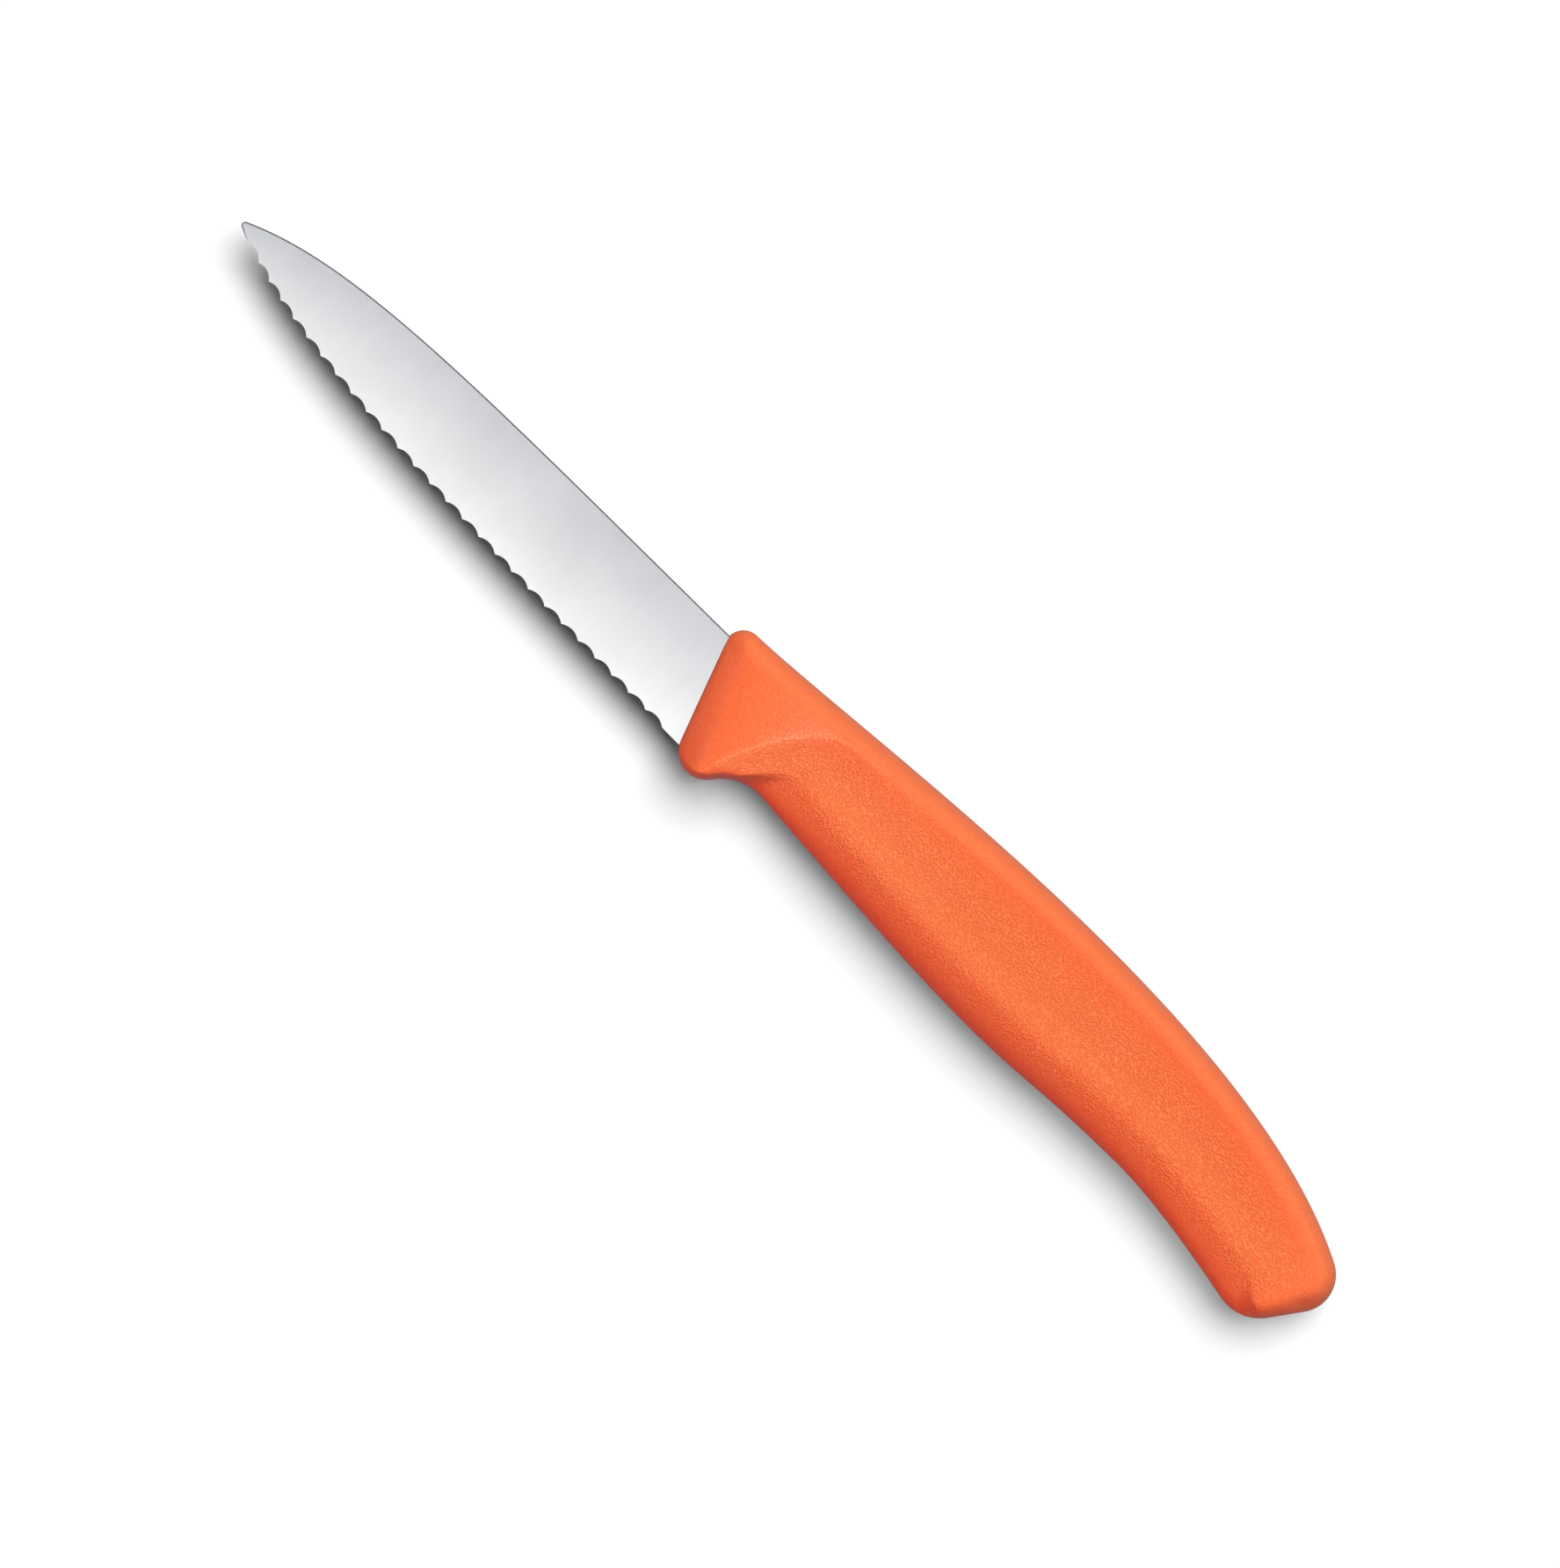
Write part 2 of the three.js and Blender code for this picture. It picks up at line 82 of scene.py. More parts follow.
# Fineness of the drawn curves
CORNER_STEPS = 33
CURVE_STEPS = 161
RIM_STEPS = 11
WHEEL_SIDES = 240
HOLE_SIDES = 64
HANDLE_ROWS = 300
HANDLE_COLUMNS = 110
ROW_CROWDING = 0.88  # how much closer the rows stand at the nose and the butt

TINY = 0.001 * MM  # keeps a division from zero
SAME_PLACE = 1e-9  # distance under which two points of an outline are one
EDGE_STEP = 0.05 * MM  # over which the direction of the blade's edge is taken
LEAST_EDGE = 1e-6  # squared share of its height that an edge keeps at its rim
OVERLAP = 0.4 * MM  # by which solids that are joined reach into each other
ROUNDING_LIMIT = 0.9  # share of a rim's half height that its rounding may take
CUTTER_MARGIN = 5 * MM  # by which a cutting solid stands clear of what it cuts
SHARP_ANGLE = math.radians(11)  # past which two faces meet in a sharp edge
FLAT_AREA = MM * MM  # past which a face is one of a piece's flat faces

# Finish of the steel
# The steel's gradient is a painted reflection, which follows the spine and the edge to the tip.
SPINE_POWER = 4  # of the spine's fall to the tip, which the gradient follows
EDGE_POWER = 3.2  # of the edge's rise to the tip
GRADIENT_BEND = 0.35  # share of the gradient that gathers beside the edge
# Faces that lean from upright take the stamped colour: the stamped sides, and the rounded corners, where it
# is painted shade.
STAMPED_FACING = 0.8, 0.985  # upright part of a face's normal, from a stamped side to a ground face
GRIND_LINES = 9000, 90, 90  # fineness of the grinding lines along each axis, per metre
LINE_DETAIL = 2
LINE_STRENGTH = 0.05
LINE_DEPTH = 0.002 * MM
LINE_ROUGHNESS = 0.03  # added by the grinding lines
STAMPED_ROUGHNESS = 0.25  # added on the stamped sides
STEEL_MARKS = 14 * MM, -0.01, 0.01  # size of the handling marks, and the roughness they take and add

# Finish of the plastic
GRAIN_PAST_RIDGE = -1 * MM, 5 * MM  # distance into the dish over which the grain sets in
GRAIN_OVER_BELLY = 0.5 * MM, 4 * MM  # distance from the belly over which it sets in
GRAIN_DETAIL = 1
FAINT_GRAIN = 0.2  # share of its depth that the grain keeps on the smooth parts
FAINT_MOTTLING = 0.5  # share of its colour that the grain keeps there
# Painted shade: the smooth parts round the dish, such as the band along the back and the nose's facet, take
# more of the hollows' colour.
SMOOTH_PAINTED_SHADE = 0.31  # how much closer the smooth parts come to the colour of the hollows
GRAIN_ROUGHNESS = 0.06  # added where the grain is strong
PLASTIC_MARKS = 9 * MM, -0.05, 0.05  # as on the steel
GLOW_SHARE = 0.15  # of the light that passes through the plastic's skin
GLOW_RADIUS = 1, 0.2, 0.1
GLOW_DEPTH = 2 * MM
PLASTIC_GLOSS = 0.4

HALFWAY = 0.5  # between two colours
NOISE_RANGE = 0.3, 0.7  # which most of a noise texture lies in
CLOUD_DETAIL = 3
CLOUD_ROUGHNESS = 0.6
SOFTBOX_FADE = 1.5, 0.5  # shares of its width between which the softbox fades in
FILL_LEAN = 0.7  # lean of a direction to the spine's or the edge's side, past which the fill is even

# Node trees
NODE_SPACING = 200
MIX_SHARE, MIX_FIRST, MIX_SECOND, MIX_RESULT = 0, 6, 7, 2  # sockets of a Mix node for colours

# Kinds of shells and marks in a drawing
GROUND, ROOT, HOLE, SCALLOP, MOULDING = range(5)


# Settings

def length(name, description, millimetres):
    return FloatProperty(
        name=name,
        description=description,
        default=millimetres * MM,
        min=0,
        precision=5,
        subtype="DISTANCE",
        unit="LENGTH",
    )


def signed_length(name, description, millimetres):
    return FloatProperty(name=name, description=description, default=millimetres * MM, unit="LENGTH")


def angle(name, description, degrees):
    return FloatProperty(
        name=name,
        description=description,
        default=math.radians(degrees),
        subtype="ANGLE",
        unit="ROTATION",
    )


def number(name, description, default):
    return FloatProperty(name=name, description=description, default=default, min=0)


def pull(end):
    """How far a curve follows the direction of one of its ends."""

    def made(default):
        description = f"How far the curve follows its direction at {end}, as a share of its span"
        name = f"Pull at {end}"
        return FloatProperty(name=name, description=description, default=default, subtype="FACTOR")

    return made


def colour(name, description, red, green, blue):
    return FloatVectorProperty(
        name=name,
        description=description,
        default=(red, green, blue),
        min=0,
        max=1,
        subtype="COLOR",
    )


class BladeSettings(bpy.types.PropertyGroup):
    """Sizes and colours of the blade and its hidden tang."""

    length: length("Length", "From the tip to the middle of the handle's front", 80)
    height: length("Height", "From spine to edge, at the handle", (BLADE_HIGH.y - BLADE_LOW.y) / MM)
    thickness: length("Sheet", "Thickness of the steel sheet", (BLADE_HIGH.z - BLADE_LOW.z) / MM)
    heel_thickness: length("Heel thickness", "Left at the edge by the side grinds, beside the handle", 0.36)
    tip_thickness: length("Tip thickness", "Left at the tip by the side grinds", 0.4)
    tip_drop: length("Tip drop", "From the line of the spine down to the tip", 5.8)
    tip_radius: length("Tip radius", "Rounding of the tip's outline", 0.48)
    tip_spine_angle: angle("Spine angle", "Between the knife's length and the spine's end at the tip", 24)
    tip_edge_angle: angle("Edge angle", "Between the knife's length and the edge's end at the tip", 24.4)
    spine_straight: length("Straight spine", "Straight stretch of spine in front of the handle", 21.6)
    spine_pull: pull("the straight spine")(0.525)
    spine_tip_pull: pull("the spine's tip")(0.21)
    heel_angle: angle("Heel angle", "Rise of the edge beside the handle", 0.7)
    edge_pull: pull("the heel")(0.7)
    edge_tip_pull: pull("the edge's tip")(0.126)
    spine_rounding: length("Spine rounding", "Rounding of the spine's two corners", 0.2)
    edge_rounding: length("Edge rounding", "Rounding of all other corners", 0.01)

    scallop_pitch: length("Scallop pitch", "Width of a scallop", 2.93)
    tip_pitch: length("Tip pitch", "Width to which the scallops narrow at the tip", 2.5)
    narrowing_run: length("Narrowing run", "Length of edge behind the tip over which they narrow", 22)
    scallop_depth: length("Scallop depth", "From the cusps to the bottom of a scallop", 0.55)
    scallop_bevel: angle("Scallop bevel", "Between a scallop's flute and the blade", 15)
    plain_heel: length("Plain heel", "Edge left plain beside the handle", 2.95)
    plain_tip: length("Plain tip", "Edge left plain behind the tip, at least", 2)

    grind_overrun: length("Grind overrun", "How far the side grinds run into the handle", 1.5)
    shoulder_depth: length("Shoulder depth", "How far the full height runs into the handle", 3.2)
    tang_length: length("Tang length", "From the shoulder to the tang's round end", 62)
    tang_height: length("Tang height", "Height of the tang", 8)
    tang_drop: length("Tang drop", "From the line of the spine down to the tang's middle", 5)
    hole_count: IntProperty(name="Holes", description="Number of lock holes in the tang", default=3, min=0)
    hole_radius: length("Hole radius", "Radius of the lock holes", 2.1)
    hole_spacing: length("Hole spacing", "From one lock hole to the next", 17)
    hole_setback: length("Hole setback", "From the tang's end to its last hole", 11)

    # The spine and edge colours paint a reflection: darker beside the spine, brighter beside the edge.
    spine_colour: colour("Spine colour", "Satin steel beside the spine", 0.322, 0.328, 0.341)
    edge_colour: colour("Edge colour", "Finely ground steel beside the edge", 0.5, 0.5, 0.502)
    # Besides the duller stamped sides, this darker colour lies on the spine's rounded corners: painted shade
    # that draws the dark line along the spine.
    stamped_colour: colour("Stamped colour", "The stamped sides of the sheet", 0.26, 0.26, 0.27)
    roughness: number("Roughness", "Roughness of the ground steel", 0.3)


class HandleSettings(bpy.types.PropertyGroup):
    """Sizes and colours of the handle. A corner's place is given before it is rounded."""

    front_lean: angle("Front lean", "Lean of the handle's front, from upright", 20.1)
    nose_rise: length("Nose rise", "From the line of the spine up to the front's upper corner", 2.28)
    nose_radius: length("Nose radius", "Rounding of that corner", 2.4)
    back_start_angle: angle("Back angle, nose", "Direction of the back at the nose", 1.4)
    back_end_angle: angle("Back angle, butt", "Direction of the back at the butt", -27.5)
    back_pull: pull("the nose")(0.182)
    back_butt_pull: pull("the back's end")(0.298)
    length: length("Length", "From the spine's end to the butt's upper corner", 111.1)
    butt_drop: length("Butt drop", "From the line of the spine down to that corner", 5.2)
    butt_upper_radius: length("Butt radius, upper", "Rounding of that corner", 4.6)
    butt_height: length("Butt height", "Between the butt's two corners", 11)
    butt_lean: angle("Butt lean", "Lean of the butt, from upright", 36.1)
    butt_lower_radius: length("Butt radius, lower", "Rounding of the butt's lower corner", 5.8)
    belly_start_angle: angle("Belly angle, scoop", "Direction of the belly at the finger scoop", -4.8)
    belly_end_angle: angle("Belly angle, butt", "Direction of the belly at the butt", -11.6)
    belly_pull: pull("the scoop")(0.79)
    belly_waist_pull: pull("the waist, from the front")(0.367)
    waist_setback: length("Waist setback", "From the butt's upper corner forward to the waist", 32)
    waist_drop: length("Waist drop", "From the line of the spine down to the waist", 12.7)
    tail_waist_pull: pull("the waist, from the butt")(0.284)
    tail_pull: pull("the belly's end")(0.284)
    scoop_setback: length("Scoop setback", "From the front to the corner of the finger scoop", 13.1)
    scoop_drop: length("Scoop drop", "From the line of the spine down to that corner", 10.96)
    scoop_radius: length("Scoop radius", "Rounding of the finger scoop", 6.5)
    guard_drop: length("Guard drop", "From the blade's heel down to the corner of the guard", 5.6)
    guard_radius: length("Guard radius", "Rounding of the guard", 3.5)
    guard_share: number("Guard share", "Share of the ramp that the guard's rounding may take", 0.64)

    thickness: length("Thickness", "Thickness of the handle, before its ridges are rounded", 13.2)
    nose_thickness: length("Nose thickness", "Thickness at the front, growing up to the ridge", 7.4)
    butt_thickness: length("Butt thickness", "Thickness at the butt", 10.4)
    butt_taper: length("Butt taper", "Length over which the handle thins towards the butt", 42)
    back_roll: length("Back roll", "Width of the rounding along the back", 3.2)
    belly_roll: length("Belly roll", "Width of the rounded slope along the belly", 4.4)
    guard_roll: length("Guard roll", "Width of that slope at the guard", 0.6)
    guard_hold: length("Guard hold", "How far past the ridge the slope begins to widen", 3)
    guard_release: length("Guard release", "How far past the ridge it has its full width", 6.5)
    nose_roll: length("Nose roll", "Width of the rounded slope round the blade", 3.2)
    roll_softness: number("Roll softness", "Rounding of their upper edges, as a share of width", 0.35)
    butt_roll: length("Butt roll", "Width of the rounding along the butt", 2.6)
    dish_depth: length("Dish depth", "Depth of the shallow dish in each side", 0.95)
    thumb_depth: length("Thumb depth", "How much deeper the dish is behind the guard", 0.8)
    thumb_start: length("Thumb start", "Where the dish begins to be shallower", 12)
    thumb_end: length("Thumb end", "Where it has its even depth", 34)
    dish_width: length("Dish width", "From the ridge to the dish's full depth", 5)
    ridge_band: length("Ridge band", "Between the back and the ridge that bounds the dish", 2.2)
    ridge_softness: length("Ridge softness", "Rounding of the ridge", 1.7)
    ridge_start: length("Ridge start", "Where the ridge leaves the guard", 9.4)
    ridge_end: length("Ridge end", "Where the ridge has come up beside the back", 23.2)
    ridge_fall: length("Ridge fall", "How far the ridge drops from there to the guard", 13.4)
    ridge_bend: number("Ridge bend", "Power of that drop", 2.5)
    lower_ridge: length("Lower ridge", "Between the belly and the dish's lower side", 3.8)
    lower_fade: length("Lower fade", "Width over which the dish deepens above its lower side", 5)
    lower_start: length("Lower start", "Where the dish begins to have a lower side", 14)
    lower_end: length("Lower end", "Where that side stands full", 32)
    butt_fade: length("Butt fade", "Length over which the dish dies out towards the butt", 15)
    mould_gap: length("Mould gap", "Shrinkage gap between plastic and steel", 0.04)

    plastic_colour: colour("Plastic", "Colour of the moulded plastic", 0.835, 0.222, 0.069)
    # The smooth parts are darkened towards this colour too, as painted shade.
    hollow_colour: colour("Grain hollows", "Colour in the hollows of the mould's grain", 0.745, 0.139, 0.039)
    roughness: number("Roughness", "Roughness of the plastic", 0.32)
    grain_size: length("Grain size", "Size of the pebbles of the mould's grain", 0.26)
    grain_depth: length("Grain depth", "Height of the pebbles of the mould's grain", 0.125)


class StageSettings(bpy.types.PropertyGroup):
    """Floor, light and camera."""

    floor_width: length("Floor width", "Width of the square floor", 8000)
    floor_colour: colour("Floor", "Colour of the floor", 1, 1, 1)
    floor_sheen: number("Floor sheen", "Share of the floor's brightness that shiny surfaces show", 0.3)
    key_elevation: angle("Key elevation", "Height of the key lamp, which stands on the spine's side", 66)
    key_spread: angle("Key spread", "Width of the key lamp, which softens the shadow", 44)
    key_strength: number("Key strength", "Light of the key lamp on a surface that faces it", 3.1)
    key_leak: number("Key leak", "Share of the key lamp's light that passes the handle", 0.16)
    warm_elevation: angle("Warm elevation", "Height of the warm lamp, which stands on the edge's side", 18)
    warm_turn: angle("Warm turn", "Turn of the warm lamp from there towards the tip", 10)
    warm_spread: angle("Warm spread", "Width of the warm lamp", 90)
    warm_strength: number("Warm strength", "Light of the warm lamp, which reaches the handle only", 2.25)
    warm_colour: colour("Warm colour", "Colour of the warm lamp", 1, 0.16, 0.05)
    rim_elevation: angle("Rim elevation", "Height of the rim lamp, which stands on the spine's side", 12)
    rim_strength: number("Rim strength", "Light of the rim lamp, which reaches the handle only", 0.62)
    rim_colour: colour("Rim colour", "Colour of the rim lamp", 1, 0.6, 0.3)
    crest_x: length("Crest X", "Place that the crest lamp lights, from the spine's end", 12)
    crest_drop: length("Crest drop", "From the line of the spine down to that place", 6)
    crest_width: length("Crest width", "Width of what the crest lamp lights", 36)
    crest_elevation: angle("Crest elevation", "Height of the crest lamp", 70)
    crest_turn: angle("Crest turn", "Turn of the crest lamp from the spine's side towards the butt", 119)
    crest_distance: length("Crest distance", "From the crest lamp to the place that it lights", 300)
    crest_strength: number("Crest strength", "Watts of the crest lamp, which lights the handle only", 5)
    crest_colour: colour("Crest colour", "Colour of the crest lamp", 1, 0.8, 0.5)
    sky_fill: number("Sky fill", "Light of the sky on matt surfaces", 0.17)
    softbox_strength: number("Softbox", "Brightness of the softbox overhead, as shiny surfaces show it", 3.6)
    softbox_width: angle("Softbox width", "From the softbox's middle to its edge", 11)
    softbox_lean: angle("Softbox lean", "From straight overhead towards the edge's side", 2)
    room_strength: number("Room", "Brightness of the room round the softbox, as shiny surfaces show it", 0.12)
    wall_strength: number("Walls", "Brightness of the room's pale walls, as shiny surfaces show them", 1.2)
    wall_height: angle("Wall height", "Height of the walls, above which they fade into the dim ceiling", 25)
    view_distance: length("View distance", "From the camera down to the knife", 1500)
    view_width: length("View width", "What the longer side of the picture takes in", 191.2)
    view_turn: angle("View turn", "Turn of the picture about the upright line", 44.57)
    view_x: signed_length("View X", "Middle of the picture, from the spine's end", 17.23)
    view_y: signed_length("View Y", "Middle of the picture, from the line of the spine", -8.56)


# Points and lines in the knife's plane

def point(x, y):
    return np.array((x, y))


def heading(direction):
    return point(math.cos(direction), math.sin(direction))


def towards(start, end):
    step = end - start
    return step / np.linalg.norm(step)


def left_of(directions):
    return np.column_stack((-directions[:, 1], directions[:, 0]))


def round_corner(corner, side_in, side_out, radius, room=math.inf):
    """The arc that rounds a corner between sides along two unit vectors, and takes at most `room` of each."""
    half = math.acos(side_in @ side_out) / 2
    reach = min(radius / math.tan(half), room)
    centre = corner + towards(np.zeros(2), side_in + side_out) * reach / math.cos(half)
    spoke = corner + side_in * reach - centre
    bulge = math.copysign(math.pi - 2 * half, -np.cross(side_in, side_out))
    turns = np.linspace(0, bulge, CORNER_STEPS)[:, None]
    return centre + spoke * np.cos(turns) + left_of(spoke[None]) * np.sin(turns)


def sweep(start, start_side, start_pull, end, end_side, end_pull):
    """A curve that leaves each of its ends along a unit vector."""
    span = np.linalg.norm(end - start)
    start_handle = start + start_side * start_pull * span
    end_handle = end + end_side * end_pull * span
    share = np.linspace(0, 1, CURVE_STEPS)[:, None]
    rest = 1 - share
    handles = 3 * rest**2 * share * start_handle + 3 * rest * share**2 * end_handle
    return rest**3 * start + handles + share**3 * end


def chain(*stretches):
    """One line from stretches that follow each other, without the points that they share."""
    line = np.vstack(stretches)
    steps = np.hypot(*np.diff(line, axis=0).T)
    return line[np.append(True, steps > SAME_PLACE)]


def lengths_along(line):
    return np.append(0, np.cumsum(np.hypot(*np.diff(line, axis=0).T)))


def places_along(line, distances):
    lengths = lengths_along(line)
    return np.column_stack([np.interp(distances, lengths, line[:, axis]) for axis in (0, 1)])


def distance_to(line, places):
    nearest = np.full(len(places), math.inf)
    for start, run in zip(line, np.diff(line, axis=0)):
        offset = places - start
        share = np.clip(offset @ run / (run @ run), 0, 1)
        nearest = np.minimum(nearest, np.hypot(*(offset - share[:, None] * run).T))
    return nearest


class Layout:
    """Places that blade and handle share."""

    def __init__(self, scene):
        self.blade = blade = scene.knife_blade
        self.handle = scene.knife_handle
        self.heel = point(self.front_x(-blade.height), -blade.height)
        self.tip = point(self.front_x(-blade.height / 2) - blade.length, -blade.tip_drop)
        tang_end = self.shoulder_x(-blade.tang_drop) + blade.tang_length
        self.tang_centre = point(tang_end - blade.tang_height / 2, -blade.tang_drop)
        corners = np.array(((0, 0, 1), (*self.tip, 1), (*self.heel, 1)))
        halves = np.array((blade.thickness, blade.tip_thickness, blade.heel_thickness)) / 2
        self.ground_plane = np.linalg.solve(corners, halves)
        middle = (BLADE_LOW.z + BLADE_HIGH.z) / 2
        self.origin = Vector((BLADE_LOW.x - self.tip[0], BLADE_HIGH.y, middle))

    def front_x(self, y):
        return -y * math.tan(self.handle.front_lean)

    def plunge_x(self, y):
        return self.front_x(y) + self.blade.grind_overrun

    def shoulder_x(self, y):
        return self.front_x(y) + self.blade.shoulder_depth

    def butt_x(self, y):
        return self.handle.length + (y + self.handle.butt_drop) * math.tan(self.handle.butt_lean)

    def ground_height(self, places):
        return places @ self.ground_plane[:2] + self.ground_plane[2]


# Drawings: shells and marks from which node trees make the pieces

class Drawing:
    """Closed shells and loose marks, whose points carry a kind and other values."""

    def __init__(self):
        self.count = 0
        self.points = []
        self.faces = []
        self.stretches = []

    def add(self, kind, points, faces=(), **values):
        self.faces += [[self.count + index for index in face] for face in faces]
        self.stretches.append((self.count, len(points), {"kind": np.full(len(points), kind), **values}))
        self.points.append(points)
        self.count += len(points)

    def make_object(self, name):
        mesh = bpy.data.meshes.new(name)
        mesh.from_pydata(np.vstack(self.points), [], self.faces, shade_flat=False)
        for start, count, values in self.stretches:
            for key, value in values.items():
                self.write(mesh, key, start, np.asarray(value, float).reshape(count, -1))
        made = bpy.data.objects.new(name, mesh)
        bpy.context.scene.collection.objects.link(made)
        return made

    def write(self, mesh, key, start, values):
        width = values.shape[1]
        kind, field = ("FLOAT_VECTOR", "vector") if width == 3 else ("FLOAT", "value")
        attribute = mesh.attributes.get(key) or mesh.attributes.new(key, kind, "POINT")
        whole = np.zeros(self.count * width, np.float32)
        attribute.data.foreach_get(field, whole)
        whole[start * width:(start + len(values)) * width] = values.ravel()
        attribute.data.foreach_set(field, whole)


def with_height(places, heights):
    return np.column_stack((places, np.broadcast_to(heights, len(places))))


def plate_shell(outline, height_at, rounding):
    """The shell of a plate with the given outline, its rim rounded to its two faces."""
    before = outline - np.roll(outline, 1, axis=0)
    after = np.roll(outline, -1, axis=0) - outline
    before /= np.hypot(*before.T)[:, None]
    after /= np.hypot(*after.T)[:, None]
    inward = left_of(before + after) / (1 + np.sum(before * after, axis=1))[:, None]
    rings = []
    for side in (-1, 1):
        for turn in np.linspace(0, RIGHT_ANGLE, RIM_STEPS)[::side]:
            places = outline + inward * (rounding * (1 - math.cos(turn)))[:, None]
            rings.append(with_height(places, side * (height_at(places) - rounding * (1 - math.sin(turn)))))
    count = len(outline)
    faces = [range(count)[::-1], range((len(rings) - 1) * count, len(rings) * count)]
    for low in range(0, (len(rings) - 1) * count, count):
        for index in range(count):
            following = (index + 1) % count
            faces.append((low + index, low + following, low + count + following, low + count + index))
    return np.vstack(rings), faces


# Node trees

class Nodes:
    """Adds linked nodes to a tree, in a row."""

    def __init__(self, tree):
        self.tree = tree

    def add(self, kind, inputs=None, **settings):
        node = self.tree.nodes.new(kind)
        node.location.x = NODE_SPACING * len(self.tree.nodes)
        for key, value in settings.items():
            setattr(node, key, value)
        for key, value in (inputs or {}).items():
            for single in value if isinstance(value, list) else [value]:
                self.plug(single, node.inputs[key])
        return node

    def plug(self, value, socket):
        value = value.socket if isinstance(value, Field) else value
        if isinstance(value, bpy.types.NodeSocket):
            self.tree.links.new(value, socket)
        else:
            socket.default_value = value

    def field(self, kind, output=0, inputs=None, **settings):
        return Field(self, self.add(kind, inputs, **settings).outputs[output])


class Field:
    """A number that varies over a piece. Arithmetic on it adds Math nodes."""

    def __init__(self, nodes, socket):
        self.nodes = nodes
        self.socket = socket

    def math(self, operation, *others):
        inputs = dict(enumerate((self, *others)))
        return self.nodes.field("ShaderNodeMath", inputs=inputs, operation=operation)

    def __add__(self, other):
        return self.math("ADD", other)

    def __sub__(self, other):
        return self.math("SUBTRACT", other)

    def __rsub__(self, other):
        return self.math("MULTIPLY_ADD", -1, other)

    def __mul__(self, other):
        return self.math("MULTIPLY", other)

    def __truediv__(self, other):
        return self.math("DIVIDE", other)

    def __pow__(self, other):
        return self.math("POWER", other)

    __radd__ = __add__
    __rmul__ = __mul__

    def __abs__(self):
        return self.math("ABSOLUTE")

    def root(self):
        return self.math("SQRT")

    def at_least(self, low):
        return self.math("MAXIMUM", low)

    def at_most(self, high):
        return self.math("MINIMUM", high)

    def step_up(self, low, high):
        """Rises smoothly from 0 at `low` to 1 at `high`."""
        inputs = {"Value": self, "From Min": low, "From Max": high}
        return self.nodes.field("ShaderNodeMapRange", inputs=inputs, interpolation_type="SMOOTHSTEP")


def start_tree(name):
    tree = bpy.data.node_groups.new(name, "GeometryNodeTree")
    tree.interface.new_socket("Geometry", in_out="INPUT", socket_type="NodeSocketGeometry")
    tree.interface.new_socket("Material", in_out="INPUT", socket_type="NodeSocketMaterial")
    tree.interface.new_socket("Geometry", in_out="OUTPUT", socket_type="NodeSocketGeometry")
    return Nodes(tree)


class Sizes:
    """Settings as named inputs of a tree, each read as a field."""

    def __init__(self, nodes, settings, keys):
        self.nodes = nodes
        self.names = {key: settings.bl_rna.properties[key].name for key in keys}
        self.values = {name: getattr(settings, key) for key, name in self.names.items()}
        for name in self.names.values():
            nodes.tree.interface.new_socket(name, in_out="INPUT", socket_type="NodeSocketFloat")
        self.source = nodes.add("NodeGroupInput")

    def __getattr__(self, key):
        return Field(self.nodes, self.source.outputs[self.names[key]])


def named(nodes, key, data_type="FLOAT"):
    node = nodes.add("GeometryNodeInputNamedAttribute", {"Name": key}, data_type=data_type)
    return Field(nodes, node.outputs["Attribute"])


def kind_of(nodes, geometry, kind):
    """The shells or marks of one kind."""
    inputs = {"A": named(nodes, "kind"), "B": kind}
    chosen = nodes.field("FunctionNodeCompare", inputs=inputs, operation="EQUAL")
    return nodes.add("GeometryNodeSeparateGeometry", {"Geometry": geometry, "Selection": chosen}).outputs[0]


def joined(nodes, *solids):
    inputs = {"Mesh 2": list(solids)}
    return nodes.add("GeometryNodeMeshBoolean", inputs, operation="UNION", solver="MANIFOLD").outputs[0]


def cut(nodes, solid, *cutters):
    inputs = {"Mesh 1": solid, "Mesh 2": list(cutters)}
    return nodes.add("GeometryNodeMeshBoolean", inputs, operation="DIFFERENCE", solver="MANIFOLD").outputs[0]


def cylinder(nodes, radius, depth, sides, shift=None):
    inputs = {"Vertices": sides, "Radius": radius, "Depth": depth}
    mesh = nodes.add("GeometryNodeMeshCylinder", inputs).outputs["Mesh"]
    place = {"Geometry": mesh, "Translation": shift or (0, 0, 0)}
    return nodes.add("GeometryNodeTransform", place).outputs[0]


def sheet_steel(nodes, drawing, hole_radius, hole_depth):
    """The ground blade on its root, with the holes of the tang."""
    steel = joined(nodes, kind_of(nodes, drawing, GROUND), kind_of(nodes, drawing, ROOT))
    drill = cylinder(nodes, hole_radius, hole_depth, HOLE_SIDES)
    inputs = {"Points": kind_of(nodes, drawing, HOLE), "Instance": drill}
    return cut(nodes, steel, nodes.add("GeometryNodeInstanceOnPoints", inputs).outputs[0])


